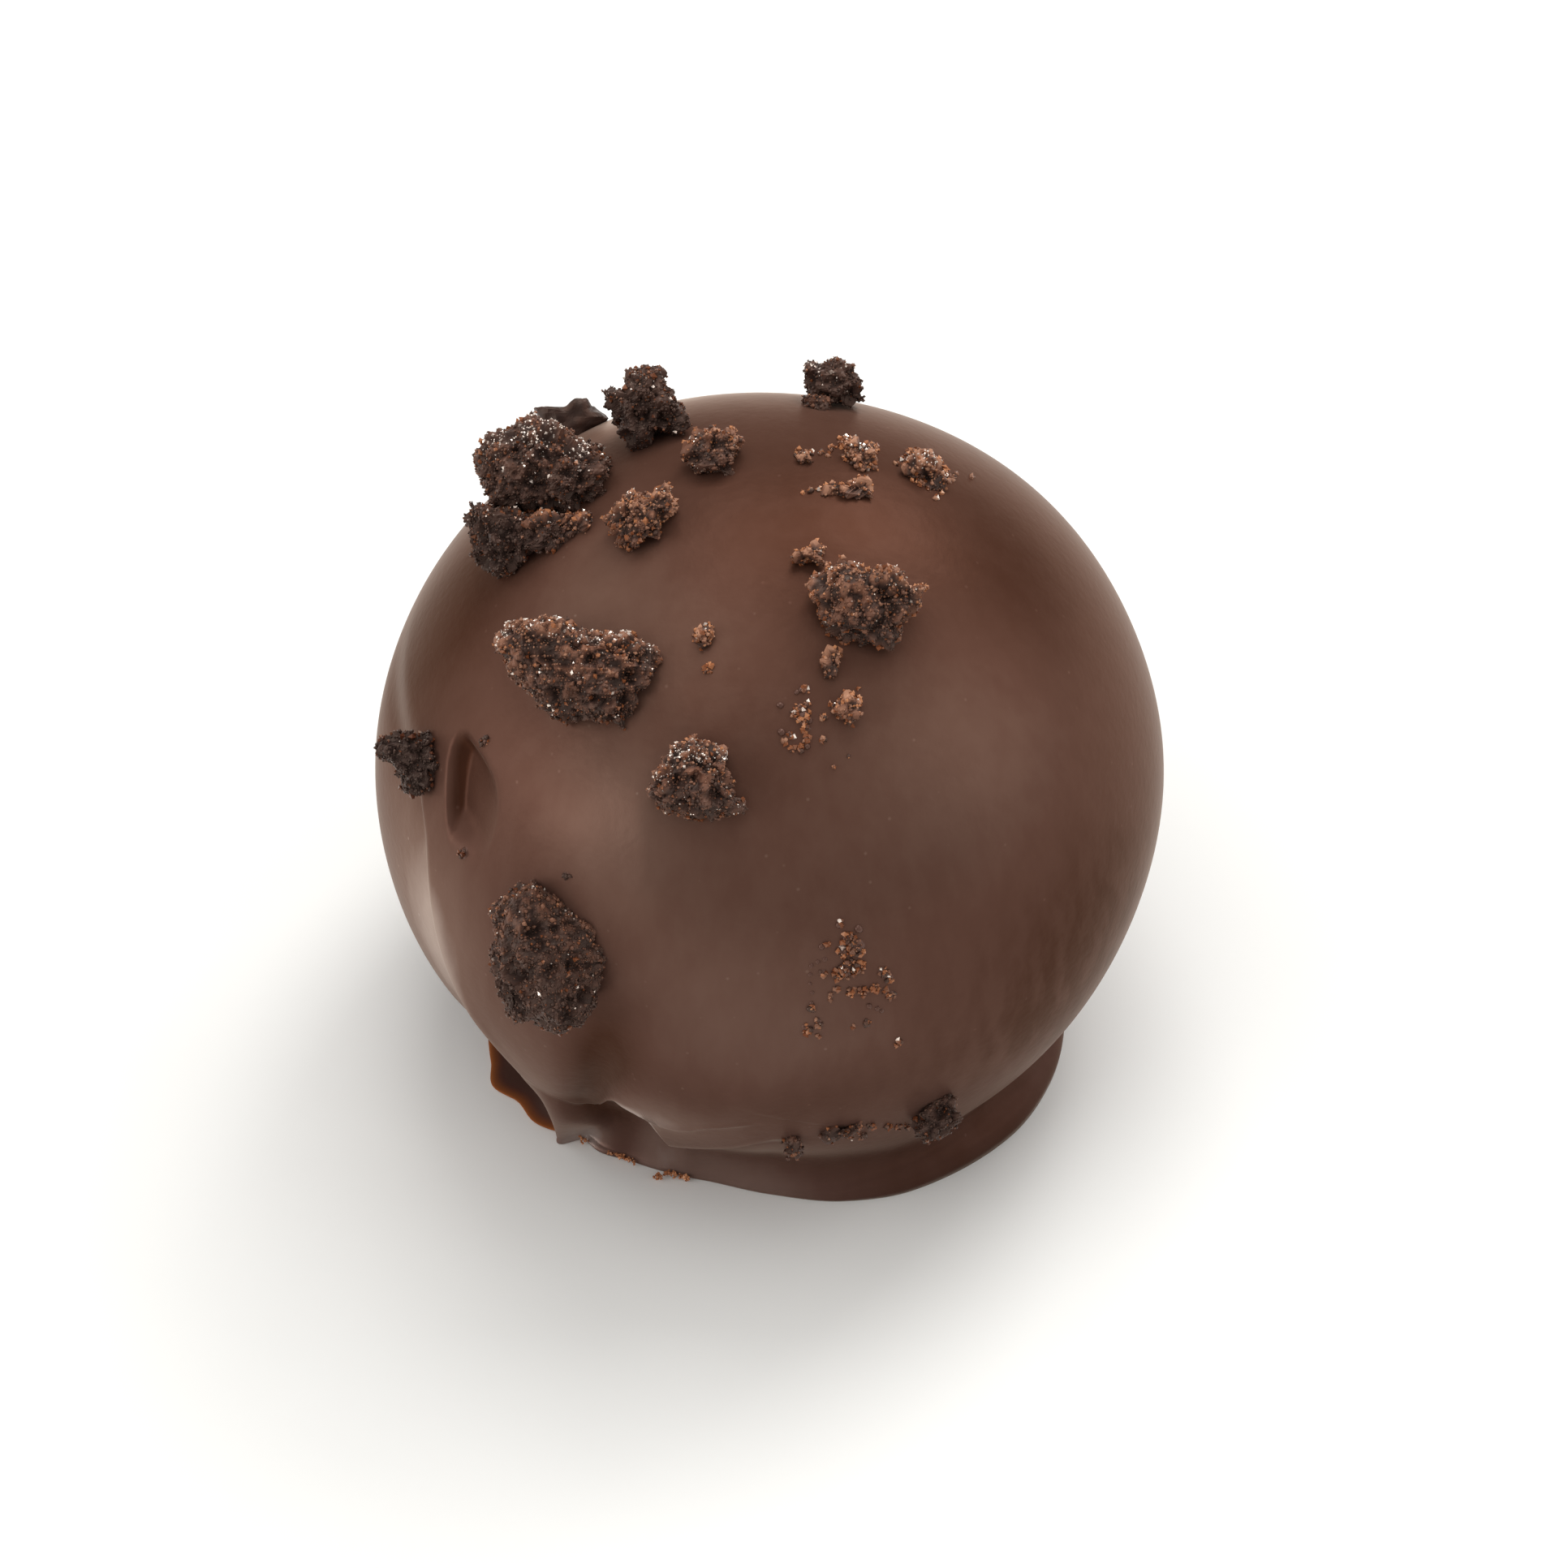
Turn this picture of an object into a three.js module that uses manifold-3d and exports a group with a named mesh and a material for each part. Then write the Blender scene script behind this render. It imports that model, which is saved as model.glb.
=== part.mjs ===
// A hand-dipped chocolate truffle: a coated ball that has sagged into a low foot, strewn with cake crumbs.
// Millimetres, +Z up. The front faces -Y and the origin is the middle of the flat base.
// A place on the ball is a bearing, 0 at the front and positive towards +X, and a tilt down from the top.
import * as THREE from "three";
import { mergeVertices } from "three/addons/utils/BufferGeometryUtils.js";
import Module from "manifold-3d";

const wasm = await Module();
wasm.setup();

// Driving sizes of the ball and its foot
const BALL_RADIUS = 16;
const BALL_HEIGHT = 12; // centre of the ball above the table
const FOOT_LOW = 0.3; // share of the foot's height below its rounded edge
const FOOT_TUCK = 0.05; // how far the edge turns in again at the table
const LIP_TURN = 0.8; // degrees of tilt that the coat's lower edge takes to turn under
const WALL_PULL = 0.36; // length of the wall's end tangents, as a share of its height
const LOOK_ELEVATION = 45; // crumb outlines are laid out in the plane that faces the front and up

// Mesh density of the coat
const BEARINGS = 88;
const CROWDING = 34; // degrees; gathers the bearings where the fold and the lip are
const CROWDED_AT = -33;
const ROWS = { ball: 28, wall: 5, nose: 3 };

// Each line below is a smooth curve through [bearing, value] pairs, and closes after a full turn.
const LIP_TILT = [
  [-160, 119], [-100, 118], [-70, 115], [-52, 113], [-41, 113], [-37, 116], [-34.5, 119.5], [-32, 120],
  [-30.7, 118.7], [-28, 114], [-26, 110.5], [-23.7, 107.9], [-21, 107.3], [-19.1, 107.8], [-17.3, 115.3],
  [-16.6, 120.1], [-12.6, 118.8], [-7, 116.4], [-1.7, 111.8], [2, 109.5], [12, 112], [28, 121], [50, 127],
  [75, 125], [110, 121],
];
const LIP_DEPTH = [
  [-160, 0.1], [-90, 0.1], [-50, 0.05], [-40, 0.05], [-37, 0.25], [-34.5, 0.6], [-18.5, 0.65], [-16, 0.45],
  [-7, 0.35], [-1, 0.15], [5, 0], [60, 0], [110, 0.1],
];
const FOOT_RADIUS = [
  [-150, 12.6], [-110, 12.2], [-78, 12], [-67.3, 12.4], [-61.4, 12.9], [-55, 12.45], [-50, 12.6],
  [-44.6, 12.25], [-40.6, 11.8], [-35, 12], [-28, 11.75], [-13, 11.7], [1, 12.2], [14, 12.95], [27, 13.4],
  [48, 13.5], [64, 13.2], [85, 12.6], [130, 12.8], [180, 12.3],
];
const FOOT_HEIGHT = [
  [-160, 1.1], [-110, 0.8], [-78, 0.3], [-66, 0.22], [-46, 0.22], [-41, 0.3], [-12, 0.3], [8, 0.4],
  [24, 0.9], [38, 1.25], [60, 1.3], [100, 1.1],
];
// How far the foot runs out as a thin sheet
const FLANGE = [
  [-160, 0.1], [-110, 0.3], [-74, 0.9], [-66, 1.5], [-50, 1.3], [-46, 1.1], [-42, 0.75], [-36, 0.65],
  [-28, 0.45], [-16, 0.15], [8, 0.05], [110, 0.05],
];
// Slope, in degrees below level, at which the wall runs out into the foot: low is a wide flat foot.
const RUN_OUT = [
  [-160, 15], [-75, 30], [-48, 55], [-44, 70], [-38, 66], [-28, 66], [6, 66], [24, 42], [40, 6], [110, 6],
];

// The fold: a ridge falls from the left side to a leg that stands on the table, with a valley on its right.
// The lines are [tilt, bearing] pairs.
const RIDGE_LINE = [
  [62, -69], [70, -65], [76, -59.5], [82, -56.7], [91, -53.7], [101, -49.5], [109, -45], [115, -42.5],
  [121, -41.5],
];
const RIDGE_CREST = 0.1;
const FLAT_DEPTH = 0.5; // how far the side left of the ridge is pressed in
// The leg and the valley change evenly from the first of a pair of sizes, above, to the second, below.
const LEG = { bearing: [-40.5, -43.2], half: [5.5, 2.9], height: 1.3, growth: 1.6 };
const VALLEY_LINE = [[78, -20.5], [86, -22.4], [92, -23.5], [98, -24.6], [105, -26.8], [111, -28.8], [118, -31]];
const VALLEY = { from: 74, to: 108, half: [1.8, 1.15], depth: 0.8 };
const SWELLS = [
  { bearing: -31, tilt: 58, wide: 13, tall: 12, height: 0.22 },
  { bearing: -8, tilt: 97, wide: 14, tall: 11, height: 0.15 },
  { bearing: -46, tilt: 118, wide: 9, tall: 11, height: -0.35 },
  { bearing: 48, tilt: 52, wide: 30, tall: 26, height: 0.18 },
  { bearing: 128, tilt: 70, wide: 34, tall: 28, height: 0.2 },
  { bearing: -150, tilt: 66, wide: 30, tall: 30, height: 0.2 },
];
// The dent: a fingernail-shaped groove between a left rim, its deepest line and a right rim, each as
// [distance up the slope, distance to the right] pairs from the dent's middle.
const DENT = { bearing: -53.8, tilt: 63.4, depth: 0.75, top: 1.95, bottom: -2.2 };
const DENT_LEFT = [[-1.7, -0.7], [-0.3, -1.75], [0.4, -2.15], [1.1, -2.2], [1.9, -1.8]];
const DENT_CREASE = [[-1.6, -0.3], [0, -0.75], [1.1, -1.15], [1.9, -1.7]];
const DENT_RIGHT = [[-1.8, 1.5], [-1.1, 1.67], [-0.2, 1.65], [0.4, 1.48], [1, 1.1], [1.6, 0.25], [1.9, -1.2]];

// Cake crumbs: where the middle sits and how far it stands off the ball, half its thickness, the fineness
// of its mesh, and the corners of its outline [right, up] as seen from the front and above.
const CRUMBS = [
  { name: "ledge", bearing: -106, tilt: 33, rise: 1.0, half: 2.0, detail: 3, corners: [
    [-2.4, 1.2], [-1.7, 1.6], [-0.2, 2], [0.9, 1.4], [1.9, 1], [2.6, 0.4], [2.6, -0.4], [2.4, -1.2],
    [1.6, -1.8], [-1.2, -1.6], [-2.1, -1], [-2.6, -0.2]] },
  { name: "ledge skirt", bearing: -90, tilt: 37, rise: 0.3, half: 1.3, detail: 2, corners: [
    [-1.8, 1.3], [-0.7, 1.3], [1.1, 0.8], [2.9, 0.3], [2.3, -0.5], [0.8, -0.6], [-0.2, -1.7], [-0.6, -1.9],
    [-1.7, -0.8]] },
  { name: "shard", bearing: -141, tilt: 47, rise: 0.7, half: 0.7, detail: 1, corners: [
    [-1.4, 0.1], [-0.2, 0.3], [0.3, 0.7], [0.7, 0.6], [1.4, -0.1], [0.2, -0.7], [-0.5, -0.4]] },
  { name: "spur", bearing: -137, tilt: 24, rise: 0.7, half: 1.4, detail: 3, corners: [
    [-1.8, 0.8], [-0.9, 0.9], [-0.7, 1.5], [0.5, 1.7], [0.7, 1], [1.6, -0.3], [1.5, -0.8], [0, -1.5],
    [-0.9, -1.4], [-1.3, -0.3]] },
  { name: "button", bearing: -135, tilt: 10, rise: 0.35, half: 0.9, detail: 2, corners: [
    [-1.2, 0.4], [-0.3, 1], [0.8, 0.9], [1.2, 0.5], [0.8, -0.9], [-0.1, -1.1], [-0.8, -1]] },
  { name: "mitten", bearing: -74, tilt: 18, rise: 0.4, half: 1.0, detail: 2, corners: [
    [-0.8, 1.1], [-0.3, 1.3], [0.1, 0.9], [1, 1.5], [1.5, 0.6], [0.9, -0.5], [0.1, -1.1], [-0.6, -1.3],
    [-1.4, -0.1]] },
  { name: "block", bearing: 161, tilt: 31, rise: 0.55, half: 1.0, detail: 2, corners: [
    [-1.1, 1], [0.9, 0.9], [1, 0.2], [1.2, -0.7], [0.3, -0.9], [-1.3, -0.4], [-1.3, 0.5]] },
  { name: "block foot", bearing: 164, tilt: 27.5, rise: 0.2, half: 0.6, detail: 1, corners: [
    [-0.7, 0.2], [0, 0.5], [0.6, 0.2], [0.6, -0.5], [-0.5, -0.4]] },
  { name: "hook", bearing: 123, tilt: 16, rise: 0.1, half: 0.5, detail: 1, corners: [
    [-0.7, 0.7], [0.1, 0.7], [0.6, 0.5], [0.5, -0.8], [-0.4, -0.3]] },
  { name: "seed", bearing: 143, tilt: 9, rise: 0.05, half: 0.35, detail: 0, corners: [
    [-0.4, 0.2], [0.3, 0.3], [0.4, -0.2], [-0.2, -0.3]] },
  { name: "string", bearing: 95, tilt: 11, rise: 0, half: 0.3, detail: 1, corners: [
    [-1.2, -0.1], [0, 0.2], [1, 0.4], [1.1, -0.2], [0, -0.25]] },
  { name: "claw", bearing: 110, tilt: 24.5, rise: 0.15, half: 0.6, detail: 1, corners: [
    [-0.9, 0.3], [-0.2, 0.9], [0.4, 0.7], [1, -0.3], [0.5, -0.6], [-0.3, -0.7]] },
  { name: "arrowhead", bearing: 33, tilt: 24.5, rise: 0.5, half: 1.3, detail: 3, corners: [
    [-1.8, 1], [-1.4, 1.7], [-0.6, 2], [0.5, 1.6], [1.5, 1.3], [2.6, 0.8], [2.1, -0.2], [1.5, -1.3],
    [0.1, -1.6], [-1, -1.3], [-1.6, -0.3]] },
  { name: "arrow nick", bearing: 26.4, tilt: 14.4, rise: 0.15, half: 0.5, detail: 1, corners: [
    [-0.7, 0.1], [0.2, 0.6], [0.6, 0.5], [0.5, -0.3], [-0.4, -0.4]] },
  { name: "arrow tail", bearing: 19.2, tilt: 30.2, rise: 0.1, half: 0.5, detail: 0, corners: [
    [-0.2, 0.6], [0.3, 0.4], [0.2, -0.3], [-0.3, -0.6]] },
  { name: "wedge", bearing: -43.9, tilt: 38.1, rise: 0.6, half: 1.5, detail: 3, corners: [
    [-3.4, 1.2], [-3, 2], [-1.5, 2.3], [0.2, 1.7], [1.7, 1.6], [2.9, 1], [3, 0.4], [2.6, -0.7],
    [2.2, -1.8], [1.6, -2.3], [0.7, -1.9], [-1.3, -1.9], [-2.1, -0.7], [-3, 0.1]] },
  { name: "thumb", bearing: -19.7, tilt: 26.8, rise: 0.1, half: 0.5, detail: 0, corners: [
    [-0.3, -0.1], [0.1, 0.6], [0.4, 0.5], [0, -0.6]] },
  { name: "knob", bearing: -12.7, tilt: 45.9, rise: 0.6, half: 1.4, detail: 3, corners: [
    [-2, -0.5], [-1.8, 0], [-1.2, 1.1], [-0.1, 1.7], [0.6, 1.3], [1.3, 1.1], [1.5, -0.1], [1.8, -1.2],
    [0.4, -1.7], [-0.4, -1.7], [-1.6, -1.2]] },
  { name: "bubble", bearing: 9, tilt: 35.6, rise: -0.25, half: 0.7, detail: 1, corners: [
    [-0.5, 0.5], [0.3, 0.6], [0.7, 0], [0.1, -0.6], [-0.6, -0.3]] },
  { name: "bead", bearing: 19.5, tilt: 37, rise: 0, half: 0.6, detail: 1, corners: [
    [-0.6, 0.2], [-0.1, 0.6], [0.6, 0.2], [0.4, -0.4], [-0.1, -0.6]] },
  { name: "edge lump", bearing: -68.4, tilt: 67.1, rise: 0.35, half: 1.1, detail: 2, corners: [
    [-1.1, 0.3], [-1.1, 0.9], [-0.7, 1.2], [0.7, 1.2], [1.2, -0.1], [0.7, -1.1], [0, -1.4], [-0.4, -1.2],
    [-0.7, -0.4]] },
  { name: "boulder", bearing: -31.8, tilt: 76.7, rise: 0.7, half: 1.7, detail: 3, corners: [
    [-2.3, 1.7], [-1.3, 2.6], [-0.2, 3.2], [0.2, 2.7], [1.1, 2.3], [2.2, 1.1], [2.2, -0.3], [1.8, -1.8],
    [1.3, -2.8], [0.5, -3.1], [-1.2, -2.5], [-2, -1.6], [-2.1, 0.4]] },
  { name: "sunk grains", bearing: 9, tilt: 74.5, rise: -0.25, half: 0.7, detail: 1, corners: [
    [-1.3, 0.5], [-0.2, 1.2], [0.5, 0.5], [0.6, -0.5], [-0.9, -0.9]] },
  { name: "bottom lump", bearing: 27.4, tilt: 109.5, rise: 0.15, half: 0.8, detail: 1, corners: [
    [-0.2, 1], [0.5, 0.7], [1.1, -0.2], [0.3, -0.8], [-0.5, -1], [-1, 0.2]] },
  { name: "bottom grains", bearing: 12, tilt: 108.5, rise: 0, half: 0.5, detail: 1, corners: [
    [-0.8, -0.2], [0.6, 0.5], [0.8, 0], [0.1, -0.4], [-0.8, -0.4]] },
  { name: "bottom bit", bearing: 3.6, tilt: 110.5, rise: 0, half: 0.45, detail: 0, corners: [
    [-0.4, 0.4], [0.2, 0.3], [0.4, -0.5], [-0.1, -0.6]] },
];
const CRUMB_SEED = 20261124;
const CRUMB_ROUGHNESS = 0.13; // random change of a crumb's radius, as a share
const CRUMB_BOXINESS = 0.62; // 1 is an ellipsoid; less is flatter with harder edges

const RAD = Math.PI / 180;
const clamp01 = (x) => Math.min(Math.max(x, 0), 1);
const smooth = (x) => clamp01(x) ** 2 * (3 - 2 * clamp01(x));
const bell = (x) => Math.exp(-x * x);
const between = ([a, b], share) => a + (b - a) * share;

// Cubic curve through [x, y] pairs. The slope at a pair is the harmonic mean of its neighbours' slopes,
// and level at a turning point, so the curve never swings past a pair.
function through(pairs, x) {
  const last = pairs.length - 1;
  if (x <= pairs[0][0]) return pairs[0][1];
  if (x >= pairs[last][0]) return pairs[last][1];
  const rise = (i) => (pairs[i + 1][1] - pairs[i][1]) / (pairs[i + 1][0] - pairs[i][0]);
  const slope = (i) => {
    if (i === 0 || i === last) return 0;
    const [a, b] = [rise(i - 1), rise(i)];
    return a * b <= 0 ? 0 : (2 * a * b) / (a + b);
  };
  const i = pairs.findIndex((pair) => pair[0] > x) - 1;
  const [x0, y0] = pairs[i];
  const [x1, y1] = pairs[i + 1];
  const t = (x - x0) / (x1 - x0);
  const near = (1 + 2 * t) * (1 - t) ** 2 * y0 + t * (1 - t) ** 2 * (x1 - x0) * slope(i);
  const far = t * t * (3 - 2 * t) * y1 - t * t * (1 - t) * (x1 - x0) * slope(i + 1);
  return near + far;
}

// The same for bearings, continued over the join at 180 degrees.
function around(pairs, bearing) {
  const turn = (by) => pairs.map(([b, value]) => [b + by, value]);
  return through([...turn(-360), ...pairs, ...turn(360)], bearing);
}

// Shortest signed difference between two bearings.
const apart = (a, b) => ((((a - b) % 360) + 540) % 360) - 180;

// The side left of the ridge is pressed flat, with a rounded crest along the ridge.
function sideFlat(bearing, tilt) {
  const left = -apart(bearing, through(RIDGE_LINE, tilt));
  const below = smooth((tilt - 64) / 10);
  const behind = 1 - smooth((left - 45) / 40);
  return below * (RIDGE_CREST * bell(left / 3) - FLAT_DEPTH * smooth(left / 6) * behind);
}

// A groove along the valley line, deeper and narrower as it falls.
function valley(bearing, tilt) {
  const grown = smooth((tilt - VALLEY.from) / (VALLEY.to - VALLEY.from));
  const off = BALL_RADIUS * Math.sin(tilt * RAD) * apart(bearing, through(VALLEY_LINE, tilt)) * RAD;
  return VALLEY.depth * grown * bell(off / between(VALLEY.half, grown));
}

function mound({ bearing: b0, tilt: t0, wide, tall }, bearing, tilt) {
  return bell(apart(bearing, b0) / wide) * bell((tilt - t0) / tall);
}

// A V-shaped groove: the depth falls from each rim to the crease, and runs out at the top and bottom.
function dent(bearing, tilt) {
  const right = BALL_RADIUS * Math.sin(DENT.tilt * RAD) * apart(bearing, DENT.bearing) * RAD;
  const up = BALL_RADIUS * (DENT.tilt - tilt) * RAD;
  if (up > DENT.top || up < DENT.bottom) return 0;
  const [a, b, c] = [DENT_LEFT, DENT_CREASE, DENT_RIGHT].map((line) => through(line, up));
  const across = Math.min((right - a) / (b - a), (c - right) / (c - b));
  const along = smooth((DENT.top - up) / 0.8) * smooth((up - DENT.bottom) / 1.6);
  return DENT.depth * clamp01(across) * along;
}

function ballRadius(bearing, tilt) {
  const swells = SWELLS.reduce((sum, s) => sum + s.height * mound(s, bearing, tilt), 0);
  return BALL_RADIUS + swells + sideFlat(bearing, tilt) - valley(bearing, tilt) - dent(bearing, tilt);
}

// [distance from the axis, height] of a point on the ball.
function onBall(radius, tilt) {
  return [radius * Math.sin(tilt * RAD), BALL_HEIGHT + radius * Math.cos(tilt * RAD)];
}

// The profile at one bearing: down the ball to the lip, under it, down the wall, round the foot's nose.
function profile(bearing) {
  const lipTilt = around(LIP_TILT, bearing);
  const rows = [];
  for (let i = 1; i <= ROWS.ball; i++) {
    const tilt = (lipTilt * i) / ROWS.ball;
    rows.push(onBall(ballRadius(bearing, tilt), tilt));
  }
  const lipRadius = ballRadius(bearing, lipTilt) - around(LIP_DEPTH, bearing);
  const top = onBall(lipRadius, lipTilt + LIP_TURN);
  const footRadius = around(FOOT_RADIUS, bearing);
  const footHeight = around(FOOT_HEIGHT, bearing);
  const runOut = around(RUN_OUT, bearing) * RAD;
  const rounded = ((1 - FOOT_LOW) * footHeight * (1 - Math.sin(runOut))) / Math.cos(runOut);
  const crease = [footRadius - rounded - around(FLANGE, bearing), footHeight];
  const pull = WALL_PULL * Math.hypot(top[0] - crease[0], top[1] - crease[1]);
  const wall = new THREE.CubicBezierCurve(
    new THREE.Vector2(...top),
    new THREE.Vector2(top[0] + pull * Math.cos(lipTilt * RAD), top[1] - pull * Math.sin(lipTilt * RAD)),
    new THREE.Vector2(crease[0] - pull * Math.cos(runOut), crease[1] + pull * Math.sin(runOut)),
    new THREE.Vector2(...crease),
  );
  for (let i = 0; i <= ROWS.wall; i++) {
    const fallen = i / ROWS.wall;
    const [radius, height] = wall.getPoint(fallen).toArray();
    const across = bell(apart(bearing, between(LEG.bearing, fallen)) / between(LEG.half, fallen));
    rows.push([radius + LEG.height * smooth(LEG.growth * fallen) * across, height]);
  }
  const foot = rows.at(-1)[0];
  const nose = Math.max(footRadius - foot, 0.03);
  for (let i = 1; i <= ROWS.nose; i++) {
    const turn = runOut + (Math.PI / 2 - runOut) * (i / ROWS.nose);
    const out = (Math.sin(turn) - Math.sin(runOut)) / (1 - Math.sin(runOut));
    const down = FOOT_LOW + ((1 - FOOT_LOW) * Math.cos(turn)) / Math.cos(runOut);
    rows.push([foot + nose * out, footHeight * down]);
  }
  rows.push([foot + nose - FOOT_TUCK, 0]);
  return rows;
}

// The coat is the profile carried round the axis, closed by a point on top and one under the base.
function coatGeometry() {
  const positions = [];
  for (let j = 0; j < BEARINGS; j++) {
    const turn = (360 * j) / BEARINGS - 180;
    const bearing = turn - CROWDING * Math.sin((turn - CROWDED_AT) * RAD);
    const [sin, cos] = [Math.sin(bearing * RAD), Math.cos(bearing * RAD)];
    for (const [radius, height] of profile(bearing)) positions.push(radius * sin, -radius * cos, height);
  }
  const rows = positions.length / 3 / BEARINGS;
  const [apex, base] = [rows * BEARINGS, rows * BEARINGS + 1];
  positions.push(0, 0, BALL_HEIGHT + ballRadius(0, 0), 0, 0, 0);
  const faces = [];
  for (let j = 0; j < BEARINGS; j++) {
    const [here, next] = [j * rows, ((j + 1) % BEARINGS) * rows];
    faces.push(apex, here, next, base, next + rows - 1, here + rows - 1);
    for (let i = 0; i < rows - 1; i++) {
      faces.push(here + i, here + i + 1, next + i, next + i, here + i + 1, next + i + 1);
    }
  }
  return new THREE.BufferGeometry()
    .setAttribute("position", new THREE.Float32BufferAttribute(positions, 3))
    .setIndex(faces);
}

// Repeatable random numbers from 0 to 1.
function randomFrom(seed) {
  let state = seed;
  return () => {
    state = (state + 0x6d2b79f5) | 0;
    let t = Math.imul(state ^ (state >>> 15), 1 | state);
    t = (t + Math.imul(t ^ (t >>> 7), 61 | t)) ^ t;
    return ((t ^ (t >>> 14)) >>> 0) / 4294967296;
  };
}

// Distance from the middle to a closed outline of corners, along a direction in its plane.
function outlineReach(corners, x, y) {
  let reach = 0;
  corners.forEach(([ax, ay], i) => {
    const [bx, by] = corners[(i + 1) % corners.length];
    const turn = x * (by - ay) - y * (bx - ax);
    const along = (ax * (by - ay) - ay * (bx - ax)) / turn;
    const share = (ax * y - ay * x) / turn;
    if (along > 0 && share >= -1e-6 && share <= 1 + 1e-6) reach = Math.max(reach, along);
  });
  return reach;
}

// A crumb is a boxy lump: its outline carried round to the viewer's side and back, and roughened.
function crumbGeometry({ bearing, tilt, rise, half, detail, corners }, random) {
  const ball = new THREE.IcosahedronGeometry(1, detail);
  ball.deleteAttribute("normal");
  ball.deleteAttribute("uv");
  const lump = mergeVertices(ball);
  const place = lump.getAttribute("position");
  const elevation = LOOK_ELEVATION * RAD;
  const right = new THREE.Vector3(1, 0, 0);
  const up = new THREE.Vector3(0, Math.sin(elevation), Math.cos(elevation));
  const toward = new THREE.Vector3(0, -Math.cos(elevation), Math.sin(elevation));
  const distance = ballRadius(bearing, tilt) + rise;
  const middle = new THREE.Vector3(
    distance * Math.sin(tilt * RAD) * Math.sin(bearing * RAD),
    -distance * Math.sin(tilt * RAD) * Math.cos(bearing * RAD),
    BALL_HEIGHT + distance * Math.cos(tilt * RAD),
  );
  for (let i = 0; i < place.count; i++) {
    const [x, y, z] = [place.getX(i), place.getY(i), place.getZ(i)];
    const level = Math.hypot(x, y);
    const size = 1 + CRUMB_ROUGHNESS * (2 * random() - 1);
    const flat = level < 1e-9 ? 0 : outlineReach(corners, x / level, y / level);
    const reach = flat * Math.max(level, 1e-9) ** (CRUMB_BOXINESS - 1);
    const point = middle
      .clone()
      .addScaledVector(right, size * reach * x)
      .addScaledVector(up, size * reach * y)
      .addScaledVector(toward, size * half * Math.sign(z) * Math.abs(z) ** CRUMB_BOXINESS);
    place.setXYZ(i, point.x, point.y, point.z);
  }
  return lump;
}

function solid(geometry) {
  const vertProperties = new Float32Array(geometry.getAttribute("position").array);
  const triVerts = new Uint32Array(geometry.index.array);
  return new wasm.Manifold(new wasm.Mesh({ numProp: 3, vertProperties, triVerts }));
}

function geometryOf(body) {
  const { vertProperties, triVerts } = body.getMesh();
  return new THREE.BufferGeometry()
    .setAttribute("position", new THREE.BufferAttribute(new Float32Array(vertProperties), 3))
    .setIndex(new THREE.BufferAttribute(new Uint32Array(triVerts), 1));
}

const random = randomFrom(CRUMB_SEED);
const crumbs = CRUMBS.map((crumb) => solid(crumbGeometry(crumb, random)));
const body = crumbs.reduce((whole, crumb) => whole.add(crumb), solid(coatGeometry()));

const chocolate = new THREE.MeshStandardMaterial({ color: 0x5a4137, roughness: 0.4, metalness: 0 });
const truffle = new THREE.Mesh(geometryOf(body), chocolate);
truffle.name = "truffle";

const part = new THREE.Group();
part.add(truffle);

export default part;
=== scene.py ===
"""A hand-dipped chocolate truffle: a coated ball sagged into a low foot, strewn with cake crumbs.

Sizes are millimetres until a mesh is made. The front faces -Y. A place on the ball is a bearing, 0 at the
front and positive towards +X, and a tilt down from the top, both in degrees.
"""
import math

import bpy
import numpy as np
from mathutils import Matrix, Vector


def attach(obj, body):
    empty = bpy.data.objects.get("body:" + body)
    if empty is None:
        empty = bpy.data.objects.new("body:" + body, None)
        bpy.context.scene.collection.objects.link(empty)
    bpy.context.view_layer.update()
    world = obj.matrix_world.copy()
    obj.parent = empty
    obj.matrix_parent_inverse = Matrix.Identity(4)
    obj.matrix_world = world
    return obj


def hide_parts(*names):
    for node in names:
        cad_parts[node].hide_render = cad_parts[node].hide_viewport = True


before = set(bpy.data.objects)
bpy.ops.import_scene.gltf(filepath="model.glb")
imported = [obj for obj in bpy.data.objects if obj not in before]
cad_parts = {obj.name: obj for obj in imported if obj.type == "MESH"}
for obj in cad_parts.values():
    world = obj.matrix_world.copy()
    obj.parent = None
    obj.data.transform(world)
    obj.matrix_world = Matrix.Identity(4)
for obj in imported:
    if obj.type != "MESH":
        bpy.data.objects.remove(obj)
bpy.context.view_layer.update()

MM = 0.001
TINY, CLOSE = 1e-9, 1e-6


def table(columns, *rows):
    """Rows of values as dicts under the names of their columns. A dict at a row's end holds its extras."""
    made = [dict(zip(columns.split(), row)) for row in rows]
    return [{**values, **(row[-1] if isinstance(row[-1], dict) else {})} for values, row in zip(made, rows)]


# Ball, foot and the coat's lower edge
BALL_RADIUS = 16
BALL_HEIGHT = 12
FOOT_LOW = 0.3   # share of the foot's height that stands straight up from the base
FOOT_TUCK = 0.05
LEAST_NOSE = 0.03
LIP_TURN = 0.8
WALL_PULL = 0.36
LOOK_ELEVATION = 45

# The coat's mesh: bearings crowd where the fold and the lip are, and rows where the ball ends
BEARINGS = 480
CROWDING = 34
CROWDED_AT = -30
TOP_SHARE, SIDE_SHARE = 0.36, 0.84  # part of the way to the lip that the wider-spaced rows cover
BALL_ROWS = (0, TOP_SHARE, 30), (TOP_SHARE, SIDE_SHARE, 78), (SIDE_SHARE, 1, 56)
LIP_ROWS, WALL_ROWS, NOSE_ROWS = 4, 18, 12
MEAN_LIP = 116

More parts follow.
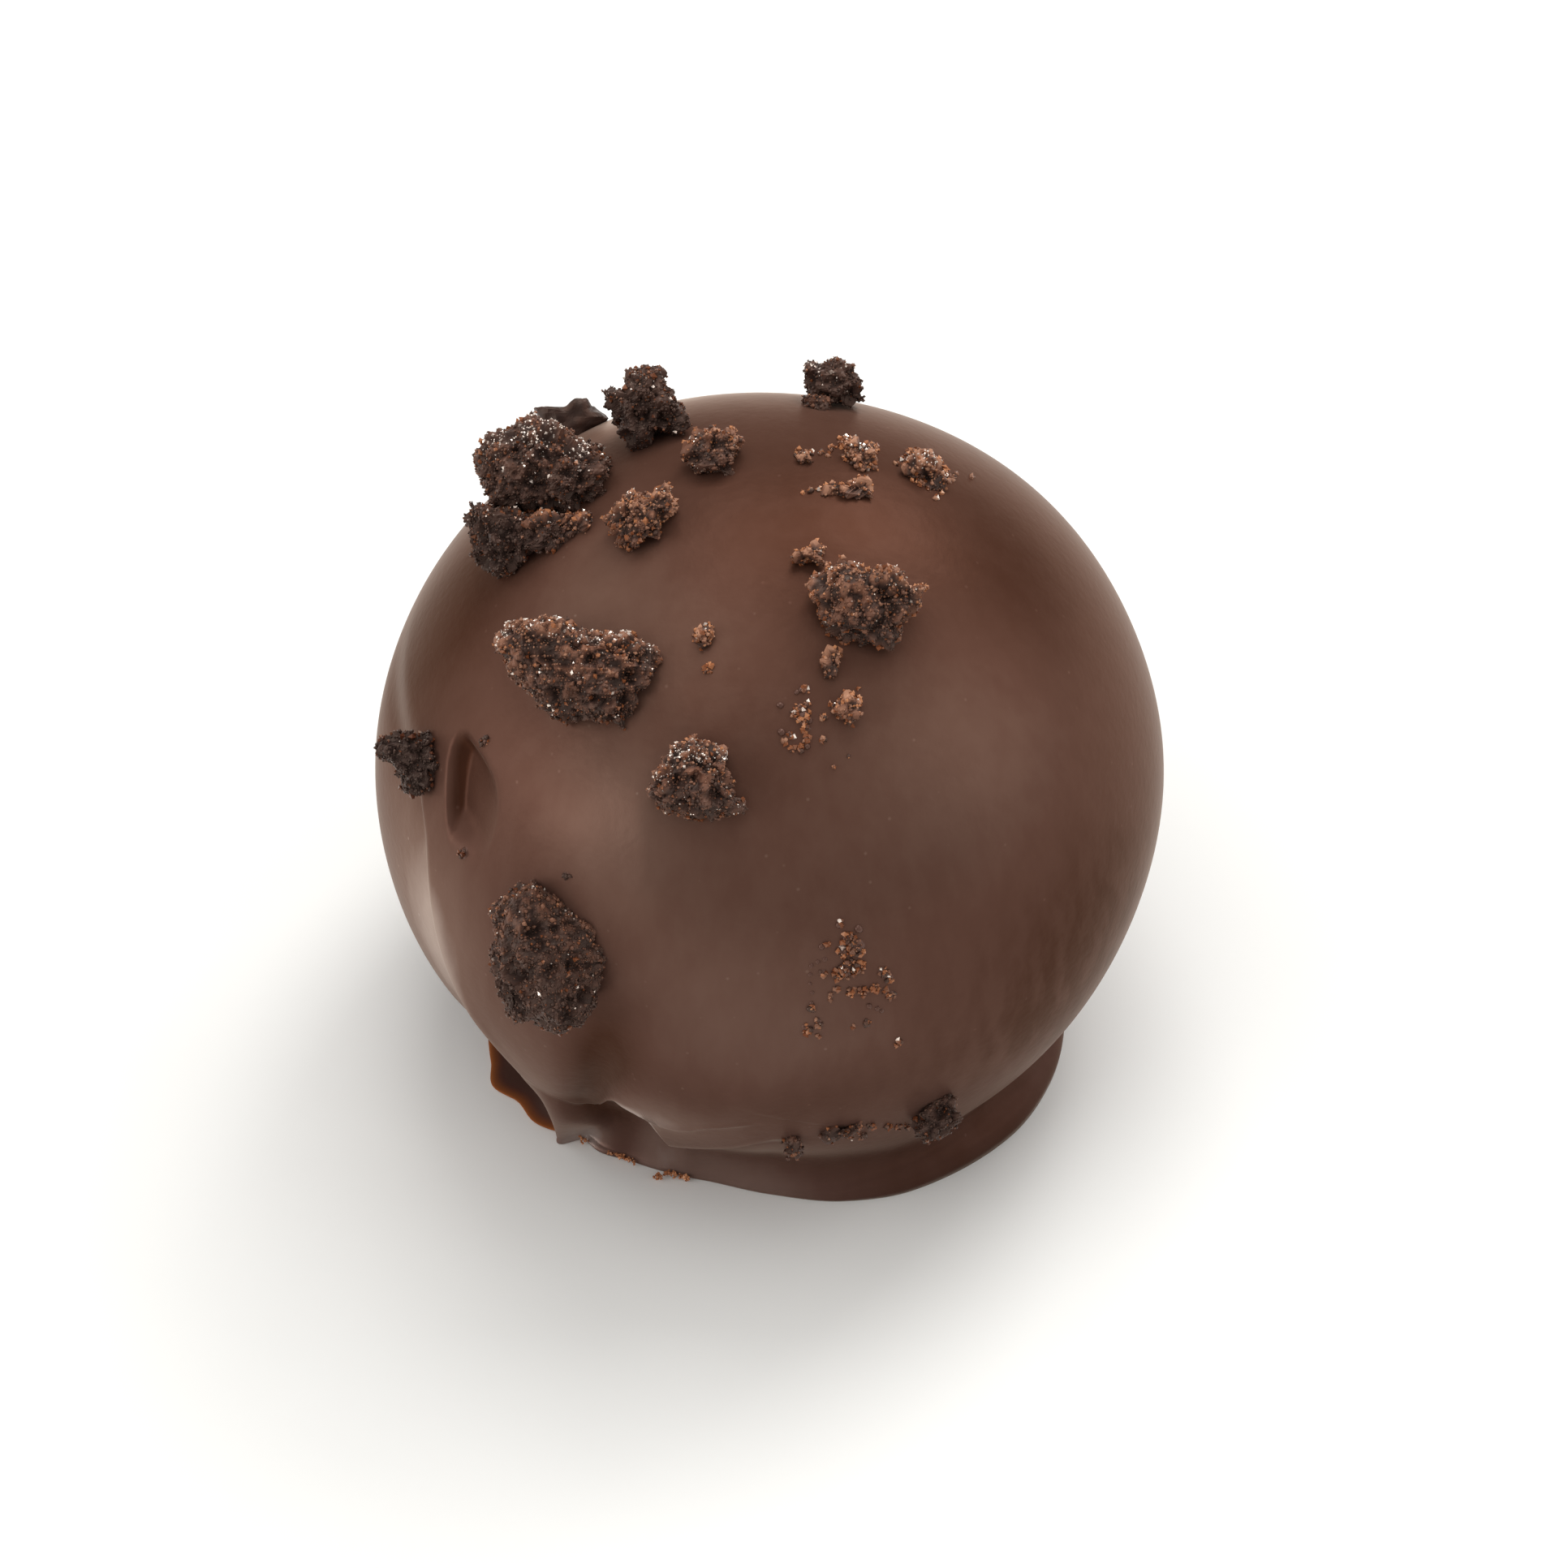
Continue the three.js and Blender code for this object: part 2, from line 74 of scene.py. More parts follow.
# Curves through [bearing, value] pairs, closed after a full turn
LIP_TILT = [
    [-160, 119], [-100, 118], [-70, 115], [-52, 113], [-41, 113], [-37, 116], [-34.5, 119.5], [-32, 120],
    [-30.7, 118.7], [-28, 114], [-26, 110.5], [-23.7, 107.9], [-21, 107.3], [-19.1, 107.8], [-17.3, 115.3],
    [-16.6, 120.1], [-12.6, 118.8], [-7, 116.4], [-1.7, 111.8], [2, 109.5], [12, 112], [28, 121], [50, 127],
    [75, 125], [110, 121],
]
LIP_DEPTH = [
    [-160, 0.1], [-90, 0.1], [-50, 0.03], [-36.5, 0.02], [-34.5, 0.1], [-32, 0.6], [-18.5, 0.65],
    [-16, 0.45], [-7, 0.35], [-1, 0.15], [5, 0], [60, 0], [110, 0.1],
]
FOOT_RADIUS = [
    [-150, 12.6], [-110, 12.2], [-78, 12], [-67.3, 12.4], [-61.4, 12.9], [-55, 12.45], [-50, 12.6],
    [-44.6, 12.25], [-40.6, 11.8], [-35, 12], [-28, 11.75], [-13, 11.7], [1, 12.2], [14, 12.95], [27, 13.4],
    [48, 13.5], [64, 13.2], [85, 12.6], [130, 12.8], [180, 12.3],
]
FOOT_HEIGHT = [
    [-160, 1.1], [-110, 0.8], [-78, 0.3], [-66, 0.22], [-46, 0.22], [-41, 0.3], [-12, 0.3], [8, 0.4],
    [24, 0.9], [38, 1.15], [60, 1.05], [100, 1],
]
FLANGE = [  # how far the foot runs out as a thin sheet
    [-160, 0.1], [-110, 0.3], [-74, 0.9], [-66, 1.5], [-50, 1.3], [-46, 1.1], [-42, 0.7], [-37, 0.2],
    [-28, 0.08], [8, 0.05], [110, 0.05],
]
RUN_OUT = [  # how steeply the wall meets the foot
    [-160, 15], [-75, 30], [-48, 55], [-44, 70], [-38, 66], [-28, 66], [6, 66], [24, 48], [40, 40],
    [80, 40], [120, 15],
]

# Ridge, flat side, folds, swells and dent. A pair of tilts is where a form starts and the width of its rise,
# and a band is these two with where it ends and the width of its fall.
RIDGE_LINE = [
    [62, -69], [70, -65], [76, -59.5], [82, -56.7], [91, -53.7], [101, -49.5], [109, -45], [115, -42.5],
    [121, -41.5],
]
FLAT = {"depth": 0.5, "tilts": (64, 10), "edge": (0, 6), "behind": (12, 28)}
CREST = {"height": 0.1, "half": 3, "tilts": (72, 14)}
DRIP_LINE = [[86, -42], [94, -40], [102, -39.5], [110, -40.3], [120, -41.5]]
DRIP = {"tilts": (88, 24), "half": (2.4, 1.2), "height": 0.12}
LEG = {"bearing": (-37.4, -42.4), "half": (8, 2.5), "reach": 1.5}  # at its top and at its foot
VALLEY_LINE = [[78, -20.5], [86, -22.4], [92, -23.5], [98, -24.6], [105, -26.8], [111, -28.8], [118, -31]]
VALLEY = {"tilts": (74, 34), "half": (1.8, 1.15), "height": -0.8}
LAYER_LINE = [
    [-22, 107.3], [-19.1, 107.9], [-17.9, 108.6], [-14.2, 109.7], [-11.6, 109], [-9.3, 107.5],
    [-4.6, 105.5], [0, 104],
]
LAYER = {"band": (-20.5, 2, 0, 9), "round": 0.3, "step": 0.14, "crest": 0.06}
FOLDS = [  # each along a line of [bearing, tilt] corners, with its half-width left and right of it
    {"line": [[-9, 108.5], [-7, 104], [-4.5, 98.4], [1.9, 90.5], [7.7, 87], [15, 83], [24, 79]],
     "rise": 0.28, "half": (2.6, 1.6), "round": 0.3},
    {"line": [[-27, 42], [-24.9, 45.8], [-23, 49.6], [-21.4, 53.3], [-19.6, 57.7], [-18.8, 61.1], [-20, 66],
              [-22.5, 72]],
     "rise": 0.2, "half": (2, 0.9), "round": 0.3},
    {"line": [[-20, 33], [-18.5, 37.4], [-19, 42]],
     "rise": 0.05, "half": (0.6, 0.6), "round": 0.15},
]
SWELLS = table("bearing tilt wide tall height",
    (-31, 58, 13, 12, 0.22),
    (-8, 97, 14, 11, 0.15),
    (-46, 118, 9, 11, -0.35),
    (48, 52, 30, 26, 0.18),
    (128, 70, 34, 28, 0.2),
    (-150, 66, 30, 30, 0.2),
    (178, 50, 44, 20, -0.45),
    (92, 88, 26, 16, 0.2),
)
DENT = {"bearing": -53.8, "tilt": 63.4, "depth": 0.7, "band": (-2.5, 1.6, 1.95, 0.8)}
DENT_LEFT = [[-2.2, -0.5], [-1.8, -0.83], [-1, -1.3], [-0.1, -1.87], [0.5, -2.25], [1.3, -2.5], [1.9, -2.2]]
DENT_CREASE = [[-1.9, -0.45], [-1.3, -0.75], [-0.65, -1.1], [0.25, -1.5], [1, -1.75], [1.9, -1.75]]
DENT_RIGHT = [
    [-1.8, 1.5], [-1.2, 1.66], [-0.6, 1.67], [0.1, 1.59], [0.7, 1.33], [1.2, 0.85], [1.6, 0.1], [1.9, -1],
]

# Soft patches on the coat, with sizes in mm: painted highlights, greyer and paler, above 0, and painted
# shade, darker and redder, below
PAINTED_LIGHT_PATCHES = table("name bearing tilt wide tall tone",
    ("right bloom", 42.6, 49, 6.4, 5.8, 0.21),
    ("swell bloom", -26, 55, 2.8, 3.2, 0.24),
    ("low front", -8, 80, 4.6, 5, 0.14),
    ("flap", -19, 108, 3, 2, 0.45),
    ("leg", -38, 108, 1.8, 4.4, 0.2),
    ("side", -57, 93, 3, 4.6, 0.5),
    ("upper gleam", -17, 23.5, 2.8, 2.4, 0.12),
    ("top", 55, 9.5, 5.4, 5, -0.3),
    ("upper right", 84, 40, 5.4, 4.4, -0.32),
    ("left edge", -88, 55, 4, 6, -0.5),
    ("foot front", 33, 131, 7.4, 1.8, -0.3),
    ("recess", -34, 136, 2.6, 3, 0.82),
    ("foot top", 6, 137, 4, 1.4, 0.5),
    ("upper left", -60, 30, 5, 3.6, 0.22),
    ("front rim", 2, 98, 7, 2, -0.16),
    ("back rim", 180, 44, 8, 3.8, 0.65),
    ("right rim", 112, 70, 3, 6, 0.14),
    ("back gleam", -146, 38, 2.2, 1.8, 0.4),
    ("right low", 54, 92, 6, 6.4, -0.4),
)
COAT_TONE_LEVEL = 0.385
BASE_MOTTLE = 0.15
MOTTLE = {"bearing": 54, "tilt": 98, "wide": 6, "tall": 4.6, "tone": 1}

# Tones that follow the forms: painted shade in the valley, the dent and its slit, and painted highlights on
# folds, ridge, side and lip
VALLEY_TONE, DENT_TONE, SLIT_TONE, FOLD_TONE, RIDGE_TONE, SIDE_TONE = 1, -0.28, -0.28, 0.25, 0.12, 0.2
SLIT_EDGE, SLIT_END = 2.5, 3
RIDGE_HALF, RIDGE_BAND = 0.4, (78, 8, 118, 10)
SIDE_TILTS, SIDE_REACH = (70, 10, 116, 10), (0, 1, 9, 5)
LIP_HALF = 0.9
LIP_PALE = [
    [-160, 0], [-50, 0.02], [-34.5, 0.06], [-32, 0.36], [-18.5, 0.39], [-16, 0.27], [-7, 0.2], [-1, 0.1],
    [5, 0], [30, 0], [44, 0.35], [80, 0.45], [110, 0],
]
THIN = {"width": 0.85, "above": 0.1, "flange": (0.6, 0.5)}  # where the foot's sheet lets light through

# Camera
FRAME_PIXELS = 1932
BALL_AT = (944, 957)  # where the middle of the ball shows in a frame of that size
LENS_MM, SENSOR_MM = 180, 36
CAMERA_DISTANCE = 320.4

# Studio
FLOOR_RADIUS, FLOOR_SIDES = 1600, 96
WORLD_STRENGTH = 0.28
LIGHT_DISTANCE = 800
LIGHTS = table("name bearing elevation wide tall power",
    ("right", 90, 28, 56, 44, 2.1),
    ("left", -68, 20, 44, 30, 2.1),
    ("left strip", -90, 8, 60, 14, 0.9),
    ("top", -60, 76, 40, 40, 1.45),
    ("front", 20, 34, 60, 40, 0.75),
    ("key", 146, 42, 24, 24, 2.1),
    ("back", 170, 62, 36, 30, 2.5),
    ("back left", -124, 38, 40, 30, 0.5),
)

LOOK = math.radians(LOOK_ELEVATION)
RIGHT = np.array([1.0, 0, 0])
UP = np.array([0, math.sin(LOOK), math.cos(LOOK)])
TOWARD = np.array([0, -math.cos(LOOK), math.sin(LOOK)])
BALL_MIDDLE = np.array([0, 0, BALL_HEIGHT])

# Cake crumbs: where the middle sits and how far it stands off the ball, half its thickness, the share of its
# grains that are amber, how light it is, how often it glints, and the corners of its outline [right, up] as
# seen from the front and above
CRUMBS = table("name bearing tilt rise half amber light glint corners",
    ("ledge", -106, 33, 1, 2, 0.4, 0.3, 3, [
        [-2.4, 1.5], [-1.7, 1.9], [-0.3, 2.5], [0.9, 1.8], [1.9, 1.4], [2.7, 0.7], [2.7, -0.1], [2.3, -1],
        [1.4, -1.5], [-1.2, -1.4], [-2.1, -0.8], [-2.7, 0.1]]),
    ("ledge skirt", -90, 37, 0.3, 1.3, 0.45, 0.12, 0.5, [
        [-2, 1.7], [-0.8, 1.6], [1, 1.2], [2.9, 0.7], [2.3, 0], [0.8, -0.2], [-0.3, -1.2], [-0.8, -1.5],
        [-1.8, -0.4]]),
    ("ledge apron", -88, 30.6, 0.1, 0.7, 0.7, 0.5, 0.6, [
        [-1.3, 0.6], [0.5, 0.9], [1.5, 0.5], [1.1, 0.1], [0.4, -0.2], [-0.2, -0.8], [-0.7, -0.3]]),
    ("shard", -140, 47.5, 0.8, 0.9, 0, 0.45, 0.6, [
        [-1.5, 0.3], [-0.2, 0.4], [0.2, 0.7], [0.7, 0.7], [0.8, 0.3], [1.5, -0.1], [0.4, -0.9],
        [-1, -0.8]], {"grains": 0, "bumps": 0.1, "hollows": 0.1, "lumps": 0.5}),
    ("spur", -138, 24.5, 1, 1.4, 0.4, 0.15, 0.5, [
        [-1.8, 0.8], [-0.9, 0.9], [-0.7, 1.5], [0.5, 1.7], [0.7, 1], [1.6, -0.3], [1.5, -0.8], [0, -1.5],
        [-0.9, -1.4], [-1.3, -0.3]]),
    ("button", -135, 10, 0.35, 0.9, 0.6, 0.5, 0.6, [
        [-1.2, 0.4], [-0.3, 1], [0.8, 0.9], [1.2, 0.5], [0.8, -0.9], [-0.1, -1.1], [-0.8, -1]]),
    ("mitten", -74, 18, 0.4, 1, 0.55, 0.7, 0.6, [
        [-0.8, 1.1], [-0.3, 1.3], [0.1, 0.9], [1, 1.5], [1.5, 0.6], [0.9, -0.5], [0.1, -1.1], [-0.6, -1.3],
        [-1.4, -0.1]]),
    ("block", 161, 31, 0.75, 1, 0.3, 0.22, 5, [
        [-1.1, 1], [0.9, 0.9], [1, 0.2], [1.2, -0.7], [0.3, -0.9], [-1.3, -0.4], [-1.3, 0.5]]),
    ("block foot", 164, 27.5, 0.2, 0.6, 0.6, 0.5, 0.6, [
        [-0.7, 0.2], [0, 0.5], [0.6, 0.2], [0.6, -0.5], [-0.5, -0.4]]),
    ("hook", 123, 16, 0.1, 0.5, 0.7, 0.8, 1.3, [
        [-0.7, 0.7], [0.1, 0.7], [0.6, 0.5], [0.5, -0.8], [-0.4, -0.3]]),
    ("seed", 143, 9, 0.05, 0.35, 0.9, 0.9, 0.6, [[-0.4, 0.2], [0.3, 0.3], [0.4, -0.2], [-0.2, -0.3]]),
    ("string", 95, 11, 0, 0.3, 0.8, 0.9, 0.6, [[-1.2, -0.1], [0, 0.2], [1, 0.4], [1.1, -0.2], [0, -0.25]]),
    ("claw", 110, 24.5, 0.15, 0.6, 0.6, 0.7, 2, [
        [-0.9, 0.3], [-0.2, 0.9], [0.4, 0.7], [1, -0.3], [0.5, -0.6], [-0.3, -0.7]]),
    ("arrowhead", 33, 24.5, 0.5, 1.3, 0.55, 0.55, 0.6, [
        [-1.8, 1], [-1.4, 1.7], [-0.6, 2], [0.5, 1.6], [1.5, 1.3], [2.6, 0.8], [2.1, -0.2], [1.5, -1.3],
        [0.1, -1.6], [-1, -1.3], [-1.6, -0.3]]),
    ("arrow nick", 26.4, 14.4, 0.15, 0.5, 0.8, 0.75, 0.6, [
        [-0.7, 0.1], [0.2, 0.6], [0.6, 0.5], [0.5, -0.3], [-0.4, -0.4]]),
    ("arrow tail", 19.2, 30.2, 0.1, 0.5, 0.8, 0.75, 0.6, [
        [-0.2, 0.6], [0.3, 0.4], [0.2, -0.3], [-0.3, -0.6]]),
    ("wedge", -43.9, 38.1, 0.6, 1.5, 0.4, 0.54, 2.8, [
        [-3.4, 1.2], [-3, 2], [-1.5, 2.3], [0.2, 1.7], [1.7, 1.6], [2.9, 1], [3, 0.4], [2.6, -0.7],
        [2.2, -1.8], [1.6, -2.3], [0.7, -1.9], [-1.3, -1.9], [-2.1, -0.7], [-3, 0.1]]),
    ("thumb", -19.7, 26.8, 0.1, 0.5, 0.8, 0.85, 0.6, [[-0.3, -0.1], [0.1, 0.6], [0.4, 0.5], [0, -0.6]]),
    ("knob", -12.7, 45.9, 0.6, 1.4, 0.4, 0.54, 2.8, [
        [-2, -0.5], [-1.8, 0], [-1.2, 1.1], [-0.1, 1.7], [0.6, 1.3], [1.3, 1.1], [1.5, -0.1], [1.8, -1.2],
        [0.4, -1.7], [-0.4, -1.7], [-1.6, -1.2]]),
    ("bead", 19.5, 37, 0, 0.6, 0.8, 0.8, 0.6, [
        [-0.6, 0.2], [-0.1, 0.6], [0.6, 0.2], [0.4, -0.4], [-0.1, -0.6]]),
    ("edge lump", -68.4, 67.1, 0.35, 1.1, 0.4, 0, 0.2, [
        [-1.4, 0.3], [-1.45, 0.95], [-0.7, 1.2], [0.7, 1.2], [1.2, -0.1], [0.7, -1.1], [0, -1.4],
        [-0.4, -1.2], [-0.7, -0.4]]),
    ("boulder", -31.8, 76.7, 0.7, 1.7, 0.2, 0.38, 0.6, [
        [-2.3, 1.7], [-1.3, 2.6], [-0.2, 3.2], [0.2, 2.7], [1.1, 2.3], [2.2, 1.1], [2.2, -0.3], [1.8, -1.8],
        [1.3, -2.8], [0.5, -3.1], [-1.2, -2.5], [-2, -1.6], [-2.1, 0.4]],
        {"bumps": 0.7, "hollows": 0.4, "crest": [0.94, 0.33, 0.5], "falls": (0.6, 0.35)}),
    ("bottom lump", 27.4, 109.5, 0.15, 0.8, 0.45, 0.2, 0.6, [
        [-0.3, 1], [0.4, 0.9], [1, -0.3], [0.3, -1], [-0.7, -1.4], [-1.2, 0.1]]),
    ("bottom grains", 12, 108.5, 0, 0.5, 0.6, 0.4, 0.6, [
        [-0.8, -0.2], [0.6, 0.5], [0.8, 0], [0.1, -0.4], [-0.8, -0.4]]),
    ("bottom bit", 3.6, 110.5, 0, 0.45, 0.5, 0.35, 0.6, [
        [-0.4, 0.4], [0.2, 0.3], [0.4, -0.5], [-0.1, -0.6]]),
)
CRUMB_SEED = 20261124
CRUMB_BOXINESS = 3.2
CRUMB_STEP = 0.1      # spacing of a crumb's mesh
CELL_WIDTH, ROW_SHARE = 1.3, 1.25
PIT_DEPTH = 0.2
PIT_FULL = 0.9        # half thickness from which pits are at their full depth
LUMP_HEIGHT = 0.14
LUMP_LENGTHS = (1.6, 0.6)
WAVE_LENGTHS = (0.7, 1.5)   # of one wave, as shares of the length that is asked for
BUMP_SIZES = (0.07, 0.25)
BUMPS_PER_MM2 = 13
HOLLOW_SIZES = (0.2, 0.45)
HOLLOWS_PER_MM2 = 1.4
ROUGHNESS = 0.028        # how far a point of a crumb's mesh may lie off its surface
# A crumb core's tone: painted light on bumps, painted shade in hollows, and random clouds
CORE_TONE = {"level": 0.1, "bump": 1.3, "hollow": 1.8, "cloud": 0.2, "cloud length": 0.5}
CORE_TONES = (0.06, 0.85)   # of the darkest and the lightest crumb
PAINTED_TOP_TONES = (0.7, 1.5)   # painted shade at the bottom and painted light at the top of a crumb

# Grains, standing out from the crumbs
GRAIN_SIZES = (0.04, 0.09)
TOOTH_SIZES = (0.09, 0.15)
TOOTH_SHARE = 0.1
GRAINS_PER_MM2 = 55
GRAIN_LIFT = 0.15        # off the crumb, as a share of the grain's size
GRAIN_SINK = 0.2         # a grain deeper than this in the ball is left out
GRAIN_TONES = (0.06, 0.74)
TONE_SPREAD = (0.35, 1.7)
GLINT_SHARE = 0.34
GLINT_WEIGHTS = (0.1, 1.8)         # anywhere, and more where a crumb faces up, as painted highlights where light falls
AMBER_WEIGHTS = (0.15, 0.6, 0.35)  # anywhere, and on the sides and where a crumb faces up as a painted glow of light through thin edges
CLUSTER_LENGTH = 1.1
GLINT_SIZE, AMBER_SIZE = 0.75, 1.1

# Loose grains: spots [right, up, radius] in mm as seen from the front and above, round a place on the coat
LOOSE = table("name bearing tilt amber light spots",
    ("scatter", 12.1, 74.9, 0.55, 0.6, [
        [-0.3, 2, 0.13], [0, 1.35, 0.25], [0.3, 1.05, 0.3], [-0.2, 0.9, 0.2], [-0.8, 1.2, 0.06],
        [0, 0.25, 0.3], [0.4, 0.3, 0.2], [-0.4, 0, 0.2], [-0.5, -0.55, 0.12], [-0.7, -0.85, 0.1],
        [-1, 0.05, 0.12], [0.1, -0.7, 0.15], [0.55, -0.65, 0.15], [1, -0.55, 0.16], [1.35, 0.1, 0.18],
        [1.6, -0.15, 0.14], [1.65, -0.8, 0.15], [1.4, -0.6, 0.08], [-1.4, -1.25, 0.12], [-1.2, -1.85, 0.12],
        [-1.65, -2.1, 0.16], [-1.2, -2.3, 0.06], [0.7, -1.85, 0.12], [0.15, -1.95, 0.06],
        [1.95, -2.7, 0.12]]),
    ("spray", 7.9, 37.1, 0.6, 0.7, [
        [1.2, 1.75, 0.08], [0.25, 1.1, 0.12], [0, 0.4, 0.16], [0.3, 0.5, 0.12], [0.15, 0.05, 0.25],
        [-0.2, 0.1, 0.15], [1.2, 0.5, 0.08], [0.95, 0, 0.1], [0.25, -0.4, 0.16], [-0.35, -0.7, 0.1],
        [-0.55, -0.95, 0.08], [-0.3, -1.2, 0.1], [0.05, -1.2, 0.1], [0.9, -0.8, 0.1], [0.3, -0.85, 0.14],
        [2.3, 1.15, 0.04], [1.9, -1.5, 0.04], [1.35, -1.9, 0.04]]),
    ("hook spray", 126.9, 16.8, 0.5, 0.9, [
        [-2.25, 0, 0.22], [-1.9, 0.05, 0.08], [-1.5, 0.03, 0.08], [-1.2, 0, 0.08], [-1.05, 0.25, 0.12],
        [-0.5, 0.5, 0.25], [-0.2, 0.6, 0.15], [-0.4, -0.1, 0.2], [0.4, 0.2, 0.25], [0.7, 0.25, 0.12],
        [0.15, -0.5, 0.2], [-2.2, -1.6, 0.06], [-1.9, -1.52, 0.08], [-1.6, -1.45, 0.08], [-1.3, -1.4, 0.1],
        [-1, -1.42, 0.08], [-0.7, -1.35, 0.1], [-0.3, -1.3, 0.2], [0.1, -1.45, 0.15]]),
    ("claw spray", 113.8, 25.7, 0.5, 0.85, [
        [-0.8, 0.5, 0.15], [-0.5, 0.7, 0.2], [-0.1, 0.55, 0.18], [0.1, 0.3, 0.12], [-0.4, -0.2, 0.25],
        [-0.2, -0.5, 0.15], [0.8, -0.35, 0.16], [1.05, -0.3, 0.1], [0.45, 0.3, 0.12], [0.85, 0.05, 0.12],
        [1.2, -0.15, 0.08], [0.4, -1.1, 0.08], [0.6, -1, 0.06], [-1.15, 0.25, 0.06], [1.85, -0.2, 0.05]]),
    ("thumb bits", -17.5, 28.5, 0.6, 0.8, [[-0.35, 0.75, 0.14], [0.05, -0.65, 0.14], [0.15, -0.5, 0.1]]),
    ("low bits", 21.5, 112.6, 0.45, 0.35, [
        [-0.5, 0.1, 0.12], [-0.1, 0, 0.12], [0.25, 0.05, 0.1], [-1.6, -0.3, 0.14], [-2, -0.35, 0.12],
        [-1.2, 0.15, 0.12]]),
    ("lone bits", -57.3, 55.4, 0.2, 0.3, [[0, 0, 0.14]]),
    ("dent bits", -51.9, 71.7, 0.2, 0.2, [[0, 0, 0.16]]),
    ("boulder bit", -32.1, 64.7, 0.1, 0.1, [[0, 0, 0.12]]),
    ("red bit", 14.3, 83.1, 0.7, 0.4, [[0, 0, 0.08]]),
)
LOOSE_PER_MM2 = 480
LEAST_LOOSE = 3           # grains on the smallest spot
LOOSE_SIZES = (0.055, 0.16)
LOOSE_GLINTS = 0.05
LOOSE_SPREAD = 1.25       # of the spots, for the grains that roll off them
LOOSE_HEAP = 0.6          # of a half ball over the spot, for the highest grain

# Amber rags of coat on the edge of the foot: from one bearing to another, and how far from the axis
EDGE_BITS = table("start end radius count",
    (-40.4, -38, 11.95, 12),
    (-33, -27, 11.85, 50),
    (-22, -20.5, 12.15, 22),
    (-21, -15.4, 11.85, 50),
)
EDGE_SCATTER, EDGE_SIZES, EDGE_HEIGHTS, EDGE_TONES = 0.06, (0.05, 0.1), (0.12, 0.3), (0.6, 1)

# Bumps of coat film over grains, placed in the same way
FILM_SINK, MOUND_SINK = -0.25, -0.75   # how deep their middles lie, as a share of their radius
MOUND_SPREAD = 1.7                     # of the spots, for the mounds of coat under loose grains
FILM_UNEVEN, FILM_STRETCH = 0.04, (0.8, 1.15)
FILM = table("name bearing tilt spots",
    ("scatter film", 12.1, 74.9, [
        [0.4, 1.8, 0.2], [-1.05, 1.1, 0.14], [-0.9, 0.6, 0.1], [-1.2, 0.5, 0.1], [-1.45, 0.35, 0.1],
        [-1.5, 0, 0.1], [-1.5, -0.35, 0.1], [-1.42, -0.7, 0.1], [-1.45, -1.1, 0.1], [0.8, -1.2, 0.14],
        [1.1, -1.3, 0.12], [1.3, -1.4, 0.1], [-0.35, 1.95, 0.16]]),
    ("spray film", 7.9, 37.1, [
        [-0.1, 1, 0.12], [0.05, 1.1, 0.12], [-0.75, 0.5, 0.16], [-0.7, -0.55, 0.18], [-0.4, -0.6, 0.1],
        [0.3, -1.1, 0.16], [0.4, -0.1, 0.15], [0.95, -0.75, 0.1]]),
    ("fringe film", 3.3, 113, [[0, -0.3, 0.14], [0.05, -0.6, 0.1]]),
)


# ---------------- curves

def smooth(x):
    """0 below 0, 1 above 1, and an even S between."""
    x = np.clip(x, 0, 1)
    return x * x * (3 - 2 * x)


def fade(x, start, width):
    """The even S from 0 at a start to 1 a width further on."""
    return smooth((x - start) / width)


def band(x, start, rise, end, fall):
    """The even S up from 0 at a start, and down to 0 at an end, each over its own width."""
    return fade(x, start, rise) * fade(-x, -end, fall)


def bell(x):
    """1 at the middle, falling off evenly on both sides."""
    return np.exp(-x * x)


def between(pair, share):
    """Value part of the way from the first of a pair to the second."""
    return pair[0] + (pair[1] - pair[0]) * share


def through(pairs, x):
    """Cubic curve through [x, y] pairs. The slope at one is the harmonic mean of the slopes beside it."""
    knots, values = np.array(pairs, float).T
    rise = np.diff(values) / np.diff(knots)
    slope = np.zeros_like(values)
    both = rise[:-1] * rise[1:]
    slope[1:-1] = np.where(both > 0, 2 * both / np.where(both > 0, rise[:-1] + rise[1:], 1), 0)
    x = np.clip(x, knots[0], knots[-1])
    i = np.clip(np.searchsorted(knots, x, side="right") - 1, 0, len(knots) - 2)
    gap = knots[i + 1] - knots[i]
    t = (x - knots[i]) / gap
    near = (1 + 2 * t) * (1 - t) ** 2 * values[i] + t * (1 - t) ** 2 * gap * slope[i]
    far = t * t * (3 - 2 * t) * values[i + 1] - t * t * (1 - t) * gap * slope[i + 1]
    return near + far


def around(pairs, bearing):
    """The same for bearings, continued over the join at 180 degrees."""
    turns = [[b + by, value] for by in (-360, 0, 360) for b, value in pairs]
    return through(turns, bearing)


def apart(a, b):
    """Shortest signed difference between two bearings."""
    return (a - b + 180) % 360 - 180


# ---------------- the coat

def on_ball(radius, tilt):
    """Distance from the axis and height of a point on the ball."""
    return radius * np.sin(np.radians(tilt)), BALL_HEIGHT + radius * np.cos(np.radians(tilt))


def place(bearing, radius, height):
    """Points from bearings, distances from the axis and heights."""
    turn = np.radians(bearing)
    return np.stack(np.broadcast_arrays(radius * np.sin(turn), -radius * np.cos(turn), height), -1)


def arc_from(line, bearing, tilt):
    """Distance along the ball, level and signed, from a line of [tilt, bearing] pairs."""
    return BALL_RADIUS * np.sin(np.radians(tilt)) * np.radians(apart(bearing, through(line, tilt)))


def mound(shape, bearing, tilt):
    """A bell over bearing times a bell over tilt."""
    across = bell(apart(bearing, shape["bearing"]) / shape["wide"])
    return shape["height"] * across * bell((tilt - shape["tilt"]) / shape["tall"])


